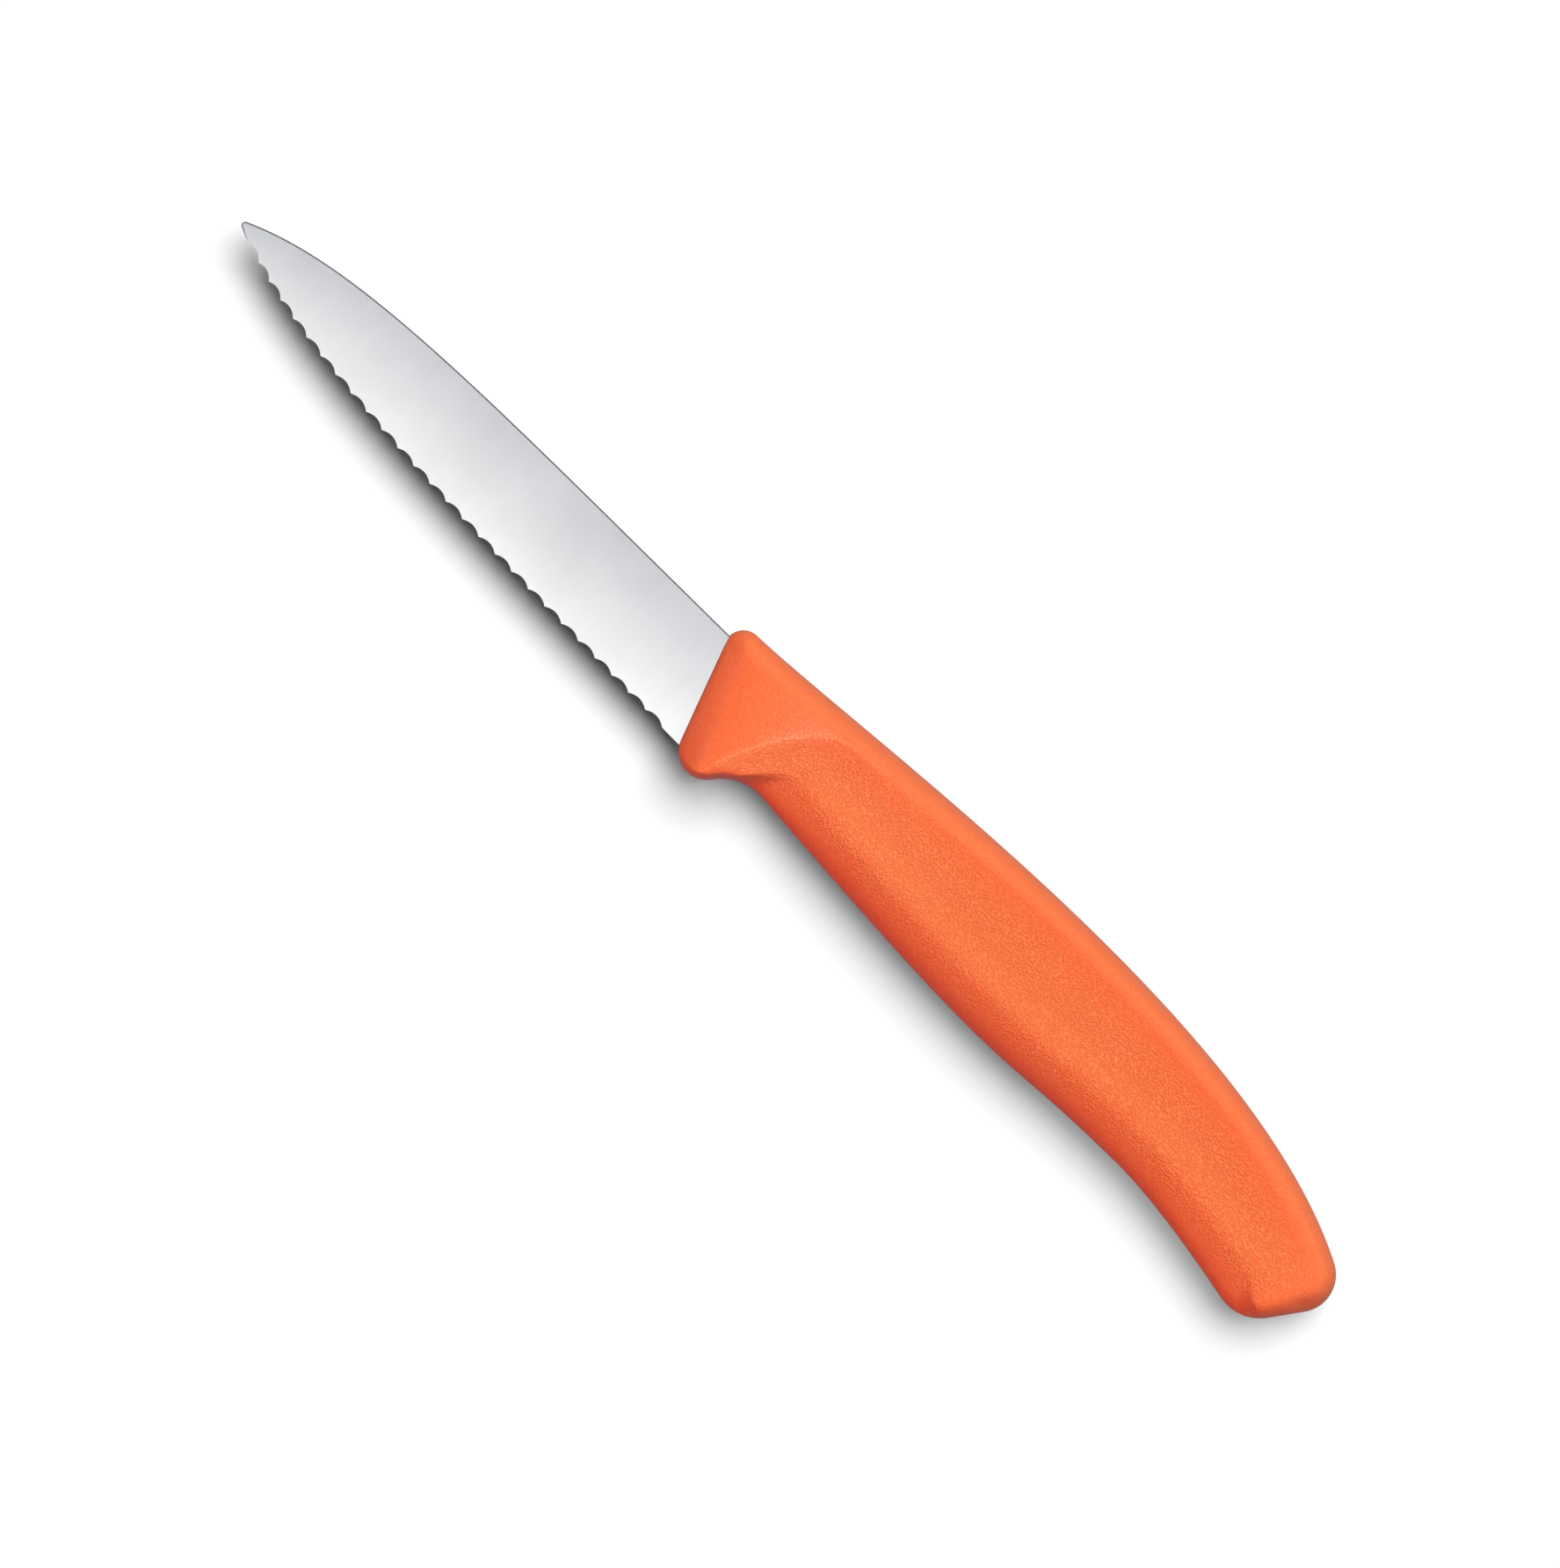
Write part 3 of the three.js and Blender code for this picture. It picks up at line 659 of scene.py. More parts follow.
def end_tree(nodes, source, solid):
    """Shades the solid smooth between its flat faces and sharp edges, and gives it its material."""
    area = nodes.field("GeometryNodeInputMeshFaceArea")
    small = nodes.field("FunctionNodeCompare", inputs={"A": area, "B": FLAT_AREA}, operation="LESS_THAN")
    inputs = {"Geometry": solid, "Shade Smooth": small}
    smooth = nodes.add("GeometryNodeSetShadeSmooth", inputs, domain="FACE").outputs[0]
    bend = nodes.field("GeometryNodeInputMeshEdgeAngle")
    sharp = nodes.field("FunctionNodeCompare", inputs={"A": bend, "B": SHARP_ANGLE}, operation="GREATER_THAN")
    inputs = {"Geometry": smooth, "Selection": sharp, "Shade Smooth": False}
    edged = nodes.add("GeometryNodeSetShadeSmooth", inputs, domain="EDGE").outputs[0]
    whole = nodes.add("GeometryNodeRealizeInstances", {"Geometry": edged}).outputs[0]
    inputs = {"Geometry": whole, "Material": source.outputs["Material"]}
    finished = nodes.add("GeometryNodeSetMaterial", inputs).outputs[0]
    nodes.add("NodeGroupOutput", {"Geometry": finished})


def run_tree(piece, nodes, values):
    """Replaces the piece's drawing by what the tree makes of it, without the drawing's own attributes."""
    modifier = piece.modifiers.new(nodes.tree.name, "NODES")
    modifier.node_group = nodes.tree
    for item in nodes.tree.interface.items_tree:
        if item.in_out == "INPUT" and item.name in values:
            modifier[item.identifier] = values[item.name]
    depsgraph = bpy.context.evaluated_depsgraph_get()
    mesh = bpy.data.meshes.new_from_object(piece.evaluated_get(depsgraph), depsgraph=depsgraph)
    piece.modifiers.remove(modifier)
    drawing = piece.data
    for key in {attribute.name for attribute in drawing.attributes if not attribute.is_required}:
        if key in mesh.attributes:
            mesh.attributes.remove(mesh.attributes[key])
    piece.data = mesh
    bpy.data.meshes.remove(drawing)
    mesh.name = piece.name


def put_in_frame(piece, origin, node):
    """Sets the piece where the CAD has the node that it stands for."""
    piece.data.transform(Matrix.Translation(origin))
    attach(piece, BODY_OF_KNIFE)
    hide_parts(node)


# Blade

def blade_lines(layout):
    """The spine to the tip, the round tip, and the edge back to the heel."""
    blade = layout.blade
    spine_side = heading(blade.tip_spine_angle)
    edge_side = heading(-blade.tip_edge_angle)
    half = (blade.tip_spine_angle + blade.tip_edge_angle) / 2
    setback = blade.tip_radius / math.sin(half) - blade.tip_radius
    tip = round_corner(layout.tip - point(setback, 0), spine_side, edge_side, blade.tip_radius)
    bend = point(-blade.spine_straight, 0)
    rise = heading(math.pi - blade.heel_angle)
    spine = sweep(bend, heading(math.pi), blade.spine_pull, tip[0], spine_side, blade.spine_tip_pull)
    edge = sweep(tip[-1], edge_side, blade.edge_tip_pull, layout.heel, rise, blade.edge_pull)
    return spine, tip, edge


def ground_shell(layout):
    """The blade between its side grinds, which end a little behind the handle's front."""
    blade = layout.blade
    spine, tip, edge = blade_lines(layout)
    low_end = point(layout.plunge_x(layout.heel[1]) + OVERLAP, layout.heel[1])
    high_end = point(layout.plunge_x(0) + OVERLAP, 0)
    outline = chain(spine, tip, edge, low_end[None], high_end[None])
    lengths = lengths_along(outline)
    past_tip = lengths - lengths[len(spine) + len(tip) - 2]
    fade = np.clip(1 - past_tip / blade.plain_tip, 0, 1)
    fade[-1] = 1
    rounding = blade.edge_rounding + (blade.spine_rounding - blade.edge_rounding) * fade
    rounding = np.minimum(rounding, layout.ground_height(outline) * ROUNDING_LIMIT)
    return plate_shell(outline, layout.ground_height, rounding)


def root_shell(layout, grow):
    """The sheet from the end of the side grinds to the end of the tang, drawn `grow` outside its own line."""
    blade = layout.blade
    bottom = layout.heel[1] - grow
    low = -blade.tang_drop - blade.tang_height / 2 - grow
    high = -blade.tang_drop + blade.tang_height / 2 + grow
    turns = np.linspace(-RIGHT_ANGLE, RIGHT_ANGLE, CORNER_STEPS)
    spokes = np.column_stack((np.cos(turns), np.sin(turns)))
    outline = chain(
        point(layout.plunge_x(bottom) - grow, bottom)[None],
        point(layout.shoulder_x(bottom) + grow, bottom)[None],
        point(layout.shoulder_x(low) + grow, low)[None],
        layout.tang_centre + spokes * (blade.tang_height / 2 + grow),
        point(layout.shoulder_x(high) + grow, high)[None],
        point(layout.shoulder_x(grow) + grow, grow)[None],
        point(layout.plunge_x(grow) - grow, grow)[None],
    )
    half = blade.thickness / 2 + grow
    return plate_shell(outline, lambda places: half, np.full(len(outline), blade.edge_rounding))


def hole_places(layout):
    blade = layout.blade
    last = layout.tang_centre[0] + blade.tang_height / 2 - blade.hole_setback
    xs = last - np.arange(blade.hole_count) * blade.hole_spacing
    return np.column_stack((xs, np.full(len(xs), layout.tang_centre[1]), np.zeros(len(xs))))


def scallop_spans(blade, whole):
    """Middle and width of each scallop, along the edge from the heel."""
    spans = []
    start = blade.plain_heel
    while True:
        narrowing = min((whole - start) / blade.narrowing_run, 1)
        width = blade.tip_pitch + (blade.scallop_pitch - blade.tip_pitch) * narrowing
        if start + width > whole - blade.plain_tip:
            return np.array(spans)
        spans.append((start + width / 2, width))
        start += width


def scallop_marks(layout):
    """Where the grinding wheel touches the edge: places, the axes that turn the wheel, and its stretch."""
    blade = layout.blade
    edge = blade_lines(layout)[2]
    whole = lengths_along(edge)[-1]
    middles, widths = scallop_spans(blade, whole).T
    on_edge = places_along(edge, whole - middles)
    along = places_along(edge, whole - middles + EDGE_STEP) - on_edge
    along /= np.hypot(*along.T)[:, None]
    inward = left_of(along)
    places = on_edge + inward * blade.scallop_depth
    across = with_height(inward * math.cos(blade.scallop_bevel), -math.sin(blade.scallop_bevel))
    stretch = np.ones((len(middles), 3))
    stretch[:, 0] = widths / blade.scallop_pitch
    marks = with_height(places, layout.ground_height(places))
    return marks, {"along": with_height(along, 0), "across": across, "stretch": stretch}


def blade_tree(blade):
    """Joins the ground blade to its root, drills the tang and grinds the scallops from the back."""
    nodes = start_tree("scalloped_blade")
    keys = "thickness", "hole_radius", "scallop_pitch", "scallop_depth", "scallop_bevel"
    sizes = Sizes(nodes, blade, keys)
    drawing = sizes.source.outputs["Geometry"]
    steel = sheet_steel(nodes, drawing, sizes.hole_radius, sizes.thickness * 2)
    lean = sizes.scallop_bevel.math("SINE")
    sag = sizes.scallop_depth * lean
    half = sizes.scallop_pitch / 2
    radius = (half * half + sag * sag) / (sag * 2)
    lead = sizes.scallop_depth * 2
    depth = lead + sizes.thickness / lean
    shift = nodes.add("ShaderNodeCombineXYZ", {"Y": radius, "Z": depth / 2 - lead}).outputs[0]
    wheel = cylinder(nodes, radius, depth, WHEEL_SIDES, shift)
    axes = {
        "Primary Axis": named(nodes, "across", "FLOAT_VECTOR"),
        "Secondary Axis": named(nodes, "along", "FLOAT_VECTOR"),
    }
    turn = nodes.add("FunctionNodeAxesToRotation", axes, primary_axis="Z", secondary_axis="X").outputs[0]
    inputs = {
        "Points": kind_of(nodes, drawing, SCALLOP),
        "Instance": wheel,
        "Rotation": turn,
        "Scale": named(nodes, "stretch", "FLOAT_VECTOR"),
    }
    wheels = nodes.add("GeometryNodeInstanceOnPoints", inputs).outputs[0]
    end_tree(nodes, sizes.source, cut(nodes, steel, wheels))
    return nodes, sizes.values


# Handle

def handle_rims(layout):
    """The handle's outline as two lines from front to butt: its back, and its belly with the guard."""
    handle = layout.handle
    guard_y = layout.heel[1] - handle.guard_drop
    butt_low_y = -handle.butt_drop - handle.butt_height
    nose = point(layout.front_x(handle.nose_rise), handle.nose_rise)
    guard = point(layout.front_x(guard_y), guard_y)
    scoop = point(handle.scoop_setback, -handle.scoop_drop)
    waist = point(handle.length - handle.waist_setback, -handle.waist_drop)
    butt_low = point(layout.butt_x(butt_low_y), butt_low_y)
    butt_high = point(handle.length, -handle.butt_drop)
    back_start = heading(handle.back_start_angle)
    back_end = heading(handle.back_end_angle + math.pi)
    belly_start = heading(handle.belly_start_angle)
    belly_end = heading(handle.belly_end_angle + math.pi)
    ramp = np.linalg.norm(scoop - guard)
    guard_room = ramp * handle.guard_share

    nose_arc = round_corner(nose, towards(nose, guard), back_start, handle.nose_radius)
    guard_sides = towards(guard, nose), towards(guard, scoop)
    guard_arc = round_corner(guard, *guard_sides, handle.guard_radius, guard_room)
    scoop_sides = towards(scoop, guard), belly_start
    scoop_arc = round_corner(scoop, *scoop_sides, handle.scoop_radius, ramp - guard_room)
    low_arc = round_corner(butt_low, belly_end, towards(butt_low, butt_high), handle.butt_lower_radius)
    high_arc = round_corner(butt_high, back_end, towards(butt_high, butt_low), handle.butt_upper_radius)

    back = sweep(nose_arc[-1], back_start, handle.back_pull, high_arc[0], back_end, handle.back_butt_pull)
    forward = heading(math.pi)
    belly = sweep(scoop_arc[-1], belly_start, handle.belly_pull, waist, forward, handle.belly_waist_pull)
    tail = sweep(waist, -forward, handle.tail_waist_pull, low_arc[0], belly_end, handle.tail_pull)
    return chain(nose_arc, back, high_arc), chain(guard_arc, scoop_arc, belly, tail, low_arc)


def moulding_shell(layout):
    """The handle pressed flat: two skins over one grid, which meet at the outline."""
    back, belly = handle_rims(layout)
    turns = np.linspace(0, 2 * math.pi, HANDLE_ROWS + 1)
    shares = np.clip((turns - ROW_CROWDING * np.sin(turns)) / (2 * math.pi), 0, 1)
    starts = places_along(back, shares * lengths_along(back)[-1])
    ends = places_along(belly, shares * lengths_along(belly)[-1])
    down = (1 - np.cos(np.linspace(0, math.pi, HANDLE_COLUMNS + 1))) / 2
    grid = starts[:, None] + (ends - starts)[:, None] * down[:, None]
    inner = grid[1:-1, 1:-1].reshape(-1, 2)
    whole = grid.reshape(-1, 2)
    upper = np.arange(len(whole)).reshape(grid.shape[:2])
    lower = upper.copy()
    lower[1:-1, 1:-1] = len(whole) + np.arange(len(inner)).reshape(HANDLE_ROWS - 1, HANDLE_COLUMNS - 1)
    side = np.zeros(grid.shape[:2])
    side[1:-1, 1:-1] = 1
    places = np.vstack((whole, inner))
    faces = []
    for skin, order in ((upper, 1), (lower, -1)):
        corners = np.stack((skin[:-1, :-1], skin[:-1, 1:], skin[1:, 1:], skin[1:, :-1]), axis=-1)
        faces += corners.reshape(-1, 4)[:, ::order].tolist()
    values = {
        "side": np.append(side.ravel(), np.full(len(inner), -1)),
        "to_back": distance_to(back, places),
        "to_belly": distance_to(belly, places),
    }
    return with_height(places, 0), faces, values


def roll(distance, width):
    """Squared height of a quarter-round edge at a distance from its rim, as a share of its full height."""
    share = (distance / width).at_least(0).at_most(1)
    return share * (2 - share)


def keel(distance, width, softness):
    """The same for a slope that steepens towards its rim and leaves its flank in a soft edge."""
    share = distance / width
    corner = softness * softness
    soft = share + (corner + 1).root() - ((share - 1) * (share - 1) + corner).root()
    return soft / ((corner + 1).root() + 1)


def together(*edges):
    """Height where several edges meet, from the squared height of each."""
    lack = sum(edge.at_least(LEAST_EDGE) ** -1 - 1 for edge in edges)
    return (lack + 1) ** -0.5


def inside_ridge(sizes, x, to_back):
    """Distance into the dish from the ridge that bounds it along the back and down to the guard."""
    span = sizes.ridge_end - sizes.ridge_start
    fall = (sizes.ridge_end - x).at_least(0) / span
    band = sizes.ridge_band + sizes.ridge_fall * fall**sizes.ridge_bend
    slope = sizes.ridge_fall * sizes.ridge_bend * fall ** (sizes.ridge_bend - 1) / span
    return (to_back - band) / (slope * slope + 1).root()


def dish_depth(sizes, x, inside, to_belly, to_butt):
    softness = sizes.ridge_softness * sizes.ridge_softness
    ramp = (inside + (inside * inside + softness).root()) / 2
    rest = 1 - (ramp / sizes.dish_width).at_most(1)
    deepest = sizes.dish_depth + sizes.thumb_depth * (1 - x.step_up(sizes.thumb_start, sizes.thumb_end))
    depth = deepest * (1 - rest * rest)
    lower_side = 1 - to_belly.step_up(sizes.lower_ridge, sizes.lower_ridge + sizes.lower_fade)
    lower_side = lower_side * x.step_up(sizes.lower_start, sizes.lower_end)
    return depth * (1 - lower_side) * to_butt.step_up(0, sizes.butt_fade)


HANDLE_FORM = (
    "front_lean", "length", "butt_drop", "butt_lean", "thickness", "nose_thickness",
    "butt_thickness", "butt_taper", "back_roll", "belly_roll", "guard_roll", "guard_hold",
    "guard_release", "nose_roll", "roll_softness", "butt_roll", "dish_depth", "thumb_depth",
    "thumb_start", "thumb_end", "dish_width", "ridge_band", "ridge_softness", "ridge_start",
    "ridge_end", "ridge_fall", "ridge_bend", "lower_ridge", "lower_fade", "lower_start",
    "lower_end", "butt_fade",
)


def handle_tree(layout):
    """Raises the two skins to the handle's form, stores the grain's strength and cuts the tang's cavity."""
    blade, handle = layout.blade, layout.handle
    nodes = start_tree("moulded_handle")
    sizes = Sizes(nodes, handle, HANDLE_FORM)
    drawing = sizes.source.outputs["Geometry"]
    position = nodes.add("GeometryNodeInputPosition").outputs[0]
    split = nodes.add("ShaderNodeSeparateXYZ", {"Vector": position})
    x, y = (Field(nodes, split.outputs[axis]) for axis in ("X", "Y"))
    to_back = named(nodes, "to_back")
    to_belly = named(nodes, "to_belly")
    to_front = (x + y * sizes.front_lean.math("TANGENT")) * sizes.front_lean.math("COSINE")
    butt_x = sizes.length + (y + sizes.butt_drop) * sizes.butt_lean.math("TANGENT")
    to_butt = (butt_x - x) * sizes.butt_lean.math("COSINE")

    inside = inside_ridge(sizes, x, to_back)
    outside = (0 - inside).at_least(0)
    to_ridge = outside / (to_front.at_least(0) + outside + TINY)
    nose_lack = (sizes.thickness - sizes.nose_thickness) * to_ridge
    butt_lack = (sizes.thickness - sizes.butt_thickness) * (1 - to_butt.step_up(0, sizes.butt_taper))
    flank = (sizes.thickness - nose_lack - butt_lack) / 2 - dish_depth(sizes, x, inside, to_belly, to_butt)
    widening = inside.step_up(sizes.guard_hold, sizes.guard_release)
    belly_roll = sizes.guard_roll + (sizes.belly_roll - sizes.guard_roll) * widening
    edges = together(
        roll(to_back, sizes.back_roll),
        keel(to_belly, belly_roll, sizes.roll_softness),
        keel(to_front, sizes.nose_roll, sizes.roll_softness),
        roll(to_butt, sizes.butt_roll),
    )
    height = flank * edges * named(nodes, "side")

    moulding = kind_of(nodes, drawing, MOULDING)
    grain = inside.step_up(*GRAIN_PAST_RIDGE) * to_belly.step_up(*GRAIN_OVER_BELLY)
    inputs = {"Geometry": moulding, "Name": "grain", "Value": grain}
    store = nodes.add("GeometryNodeStoreNamedAttribute", inputs, data_type="FLOAT", domain="POINT")
    marked = store.outputs[0]
    offset = nodes.add("ShaderNodeCombineXYZ", {"Z": height}).outputs[0]
    raised = nodes.add("GeometryNodeSetPosition", {"Geometry": marked, "Offset": offset}).outputs[0]
    steel = sheet_steel(nodes, drawing, blade.hole_radius - handle.mould_gap, blade.thickness * 2)
    end_tree(nodes, sizes.source, cut(nodes, raised, steel))
    return nodes, sizes.values


def mouth_shell(layout):
    """The ground blade where it enters the handle, grown by the gap that the moulding leaves."""
    gap = layout.handle.mould_gap
    low, high = layout.heel[1] - gap, gap
    outline = np.array((
        (-CUTTER_MARGIN, low),
        (layout.plunge_x(low) + OVERLAP, low),
        (layout.plunge_x(high) + OVERLAP, high),
        (-CUTTER_MARGIN, high),
    ))
    return plate_shell(outline, lambda places: layout.ground_height(places) + gap, np.full(4, gap / 2))


# Finishes

def start_material(name):
    material = bpy.data.materials.new(name)
    material.use_nodes = True
    return material, Nodes(material.node_tree), material.node_tree.nodes["Principled BSDF"]


def blend(nodes, share, first, second):
    """The first colour where the share is 0, and the second where it is 1."""
    node = nodes.add("ShaderNodeMix", data_type="RGBA")
    for value, index in ((share, MIX_SHARE), (first, MIX_FIRST), (second, MIX_SECOND)):
        nodes.plug(value, node.inputs[index])
    return node.outputs[MIX_RESULT]


def opaque(paint):
    return (*paint, 1)


def handling_group():
    """A soft cloudy unevenness that many hands and cloths leave in a sheen."""
    tree = bpy.data.node_groups.new("handling_marks", "ShaderNodeTree")
    tree.interface.new_socket("Vector", in_out="INPUT", socket_type="NodeSocketVector")
    for name in ("Size", "Low", "High"):
        tree.interface.new_socket(name, in_out="INPUT", socket_type="NodeSocketFloat")
    tree.interface.new_socket("Value", in_out="OUTPUT", socket_type="NodeSocketFloat")
    nodes = Nodes(tree)
    source = nodes.add("NodeGroupInput")
    scale = nodes.field("ShaderNodeMath", inputs={0: 1, 1: source.outputs["Size"]}, operation="DIVIDE")
    inputs = {"Vector": source.outputs["Vector"], "Scale": scale}
    inputs |= {"Detail": CLOUD_DETAIL, "Roughness": CLOUD_ROUGHNESS}
    clouds = nodes.field("ShaderNodeTexNoise", inputs=inputs)
    inputs = {"Value": clouds, "From Min": NOISE_RANGE[0], "From Max": NOISE_RANGE[1]}
    inputs |= {"To Min": source.outputs["Low"], "To Max": source.outputs["High"]}
    nodes.add("NodeGroupOutput", {"Value": nodes.field("ShaderNodeMapRange", inputs=inputs)})
    return tree


def handling_marks(nodes, place, size, low, high):
    tree = bpy.data.node_groups.get("handling_marks") or handling_group()
    inputs = {"Vector": place, "Size": size, "Low": low, "High": high}
    return nodes.field("ShaderNodeGroup", "Value", inputs, node_tree=tree)


def steel_finish(blade):
    """Satin steel, ground from spine to edge, with dull stamped sides. Its colour brightens from spine to
    edge: a painted reflection.
    """
    material, nodes, shader = start_material("ground_steel")
    place = nodes.add("ShaderNodeTexCoord").outputs["Object"]
    split = nodes.add("ShaderNodeSeparateXYZ", {"Vector": place})
    x, y = (Field(nodes, split.outputs[axis]) for axis in ("X", "Y"))
    heel_x = BLADE_LOW.x + blade.length
    bend_x = heel_x - blade.spine_straight
    past_bend = ((bend_x - x) / (bend_x - BLADE_LOW.x)).at_least(0)
    past_heel = ((heel_x - x) / blade.length).at_least(0)
    spine_y = BLADE_HIGH.y - blade.tip_drop * past_bend**SPINE_POWER
    edge_y = BLADE_LOW.y + (blade.height - blade.tip_drop) * past_heel**EDGE_POWER
    drop = (spine_y - y) * 2 / (spine_y - edge_y + blade.height)
    share = drop * (drop * GRADIENT_BEND + (1 - GRADIENT_BEND))
    # A painted reflection, from darker beside the spine to brighter beside the edge.
    ground = blend(nodes, share, opaque(blade.spine_colour), opaque(blade.edge_colour))
    normal = nodes.add("ShaderNodeNewGeometry").outputs["Normal"]
    # The stamped sides are duller steel; on the spine's rounded corners the same darker colour is painted
    # shade.
    facing = abs(nodes.field("ShaderNodeSeparateXYZ", "Z", {"Vector": normal}))
    stamped = 1 - facing.step_up(*STAMPED_FACING)
    nodes.plug(blend(nodes, stamped, ground, opaque(blade.stamped_colour)), shader.inputs["Base Color"])

    stretched = nodes.add("ShaderNodeMapping", {"Vector": place, "Scale": GRIND_LINES}).outputs[0]
    lines = nodes.field("ShaderNodeTexNoise", inputs={"Vector": stretched, "Scale": 1, "Detail": LINE_DETAIL})
    sheen = handling_marks(nodes, place, *STEEL_MARKS)
    roughness = sheen + lines * LINE_ROUGHNESS + stamped * STAMPED_ROUGHNESS + blade.roughness
    nodes.plug(roughness, shader.inputs["Roughness"])
    inputs = {"Height": lines, "Strength": LINE_STRENGTH, "Distance": LINE_DEPTH}
    bump = nodes.add("ShaderNodeBump", inputs)
    nodes.plug(bump.outputs[0], shader.inputs["Normal"])
    shader.inputs["Metallic"].default_value = 1
    return material


def plastic_finish(handle):
    """Coloured plastic with the pebbled grain of its mould, strong in the dish and faint round it, and
    painted shade that darkens its smooth parts.
    """
    material, nodes, shader = start_material("moulded_plastic")
    place = nodes.add("ShaderNodeTexCoord").outputs["Object"]
    strength = nodes.field("ShaderNodeAttribute", "Fac", attribute_name="grain")
    inputs = {"Vector": place, "Scale": 1 / handle.grain_size, "Detail": GRAIN_DETAIL}
    pebbles = nodes.field("ShaderNodeTexNoise", inputs=inputs)
    hollows = pebbles.step_up(*NOISE_RANGE)
    clear = strength * (1 - FAINT_GRAIN) + FAINT_GRAIN
    depth = hollows * clear
    mottling = (hollows - HALFWAY) * (strength * (1 - FAINT_MOTTLING) + FAINT_MOTTLING)
    # On the smooth parts the colour leans to the hollows' colour: painted shade.
    shade = mottling + (1 - strength) * SMOOTH_PAINTED_SHADE + HALFWAY
    nodes.plug(
        blend(nodes, shade, opaque(handle.plastic_colour), opaque(handle.hollow_colour)),
        shader.inputs["Base Color"],
    )
    sheen = handling_marks(nodes, place, *PLASTIC_MARKS)
    nodes.plug(sheen + strength * GRAIN_ROUGHNESS + handle.roughness, shader.inputs["Roughness"])
    bump = nodes.add("ShaderNodeBump", {"Height": 1 - depth, "Strength": 1, "Distance": handle.grain_depth})
    nodes.plug(bump.outputs[0], shader.inputs["Normal"])
    shader.inputs["Subsurface Weight"].default_value = GLOW_SHARE
    shader.inputs["Subsurface Radius"].default_value = GLOW_RADIUS
    shader.inputs["Subsurface Scale"].default_value = GLOW_DEPTH
    shader.inputs["Specular IOR Level"].default_value = PLASTIC_GLOSS
    return material


def floor_finish(stage):
    """A white floor that is dim in mirrored light, and isn't there from below."""
    material, nodes, shader = start_material("studio_floor")
    mirrored = nodes.add("ShaderNodeLightPath").outputs["Is Glossy Ray"]
    dim = opaque(Vector(stage.floor_colour) * stage.floor_sheen)
    nodes.plug(blend(nodes, mirrored, opaque(stage.floor_colour), dim), shader.inputs["Base Color"])
    shader.inputs["Roughness"].default_value = 1
    shader.inputs["Specular IOR Level"].default_value = 0
    below = nodes.add("ShaderNodeNewGeometry").outputs["Backfacing"]
    clear = nodes.add("ShaderNodeBsdfTransparent").outputs[0]
    mix = nodes.add("ShaderNodeMixShader", {0: below, 1: shader.outputs[0], 2: clear}).outputs[0]
    nodes.plug(mix, material.node_tree.nodes["Material Output"].inputs["Surface"])
    return material


# Studio

def add_floor(stage):
    half = stage.floor_width / 2
    mesh = bpy.data.meshes.new("floor")
    mesh.from_pydata([(-half, -half, 0), (half, -half, 0), (half, half, 0), (-half, half, 0)], [], [range(4)])
    mesh.materials.append(floor_finish(stage))
    floor = bpy.data.objects.new("floor", mesh)
    floor.visible_diffuse = False
    bpy.context.scene.collection.objects.link(floor)


def add_lamp(name, turn, elevation, spread, strength):
    """A broad lamp, turned from the spine's side about the upright line, which shiny surfaces don't show."""
    light = bpy.data.lights.new(name, "SUN")
    light.energy = strength
    light.angle = spread
    lamp = bpy.data.objects.new(name, light)
    lamp.rotation_euler = (elevation - RIGHT_ANGLE, 0, turn)
    lamp.visible_glossy = False
    bpy.context.scene.collection.objects.link(lamp)
    return lamp


def only(name, piece):
    """A collection that links a lamp to one piece."""
    collection = bpy.data.collections.new(name)
    collection.objects.link(piece)
    return collection


def add_lamps(stage, blade, handle):
    """A key lamp, and two that keep the handle's shaded side and its rims as rich in colour as its flank."""
    key = stage.key_elevation, stage.key_spread
    add_lamp("key_lamp", 0, *key, stage.key_strength * (1 - stage.key_leak))
    leak = add_lamp("key_leak", 0, *key, stage.key_strength * stage.key_leak)
    leak.light_linking.blocker_collection = only("leak_blocker", blade)
    warm_turn = math.pi - stage.warm_turn
    warm = add_lamp("warm_lamp", warm_turn, stage.warm_elevation, stage.warm_spread, stage.warm_strength)
    warm.data.color = stage.warm_colour
    rim = add_lamp("rim_lamp", 0, stage.rim_elevation, stage.warm_spread, stage.rim_strength)
    rim.data.color = stage.rim_colour
    warm.light_linking.receiver_collection = rim.light_linking.receiver_collection = only("warmed", handle)
    handle.visible_diffuse = False


def add_crest_lamp(stage, origin, handle):
    """A narrow lamp on the ridge of the nose, which lights the handle only."""
    light = bpy.data.lights.new("crest_lamp", "SPOT")
    light.energy = stage.crest_strength
    light.color = stage.crest_colour
    light.spot_size = 2 * math.atan(stage.crest_width / 2 / stage.crest_distance)
    light.spot_blend = 1
    light.shadow_soft_size = stage.crest_width / 2
    lamp = bpy.data.objects.new("crest_lamp", light)
    lamp.rotation_euler = (stage.crest_elevation - RIGHT_ANGLE, 0, -stage.crest_turn)
    backward = lamp.rotation_euler.to_matrix() @ Vector((0, 0, stage.crest_distance))
    lamp.location = origin + Vector((stage.crest_x, -stage.crest_drop, 0)) + backward
    lamp.visible_camera = lamp.visible_diffuse = False
    lamp.light_linking.receiver_collection = only("crested", handle)
    bpy.context.scene.collection.objects.link(lamp)


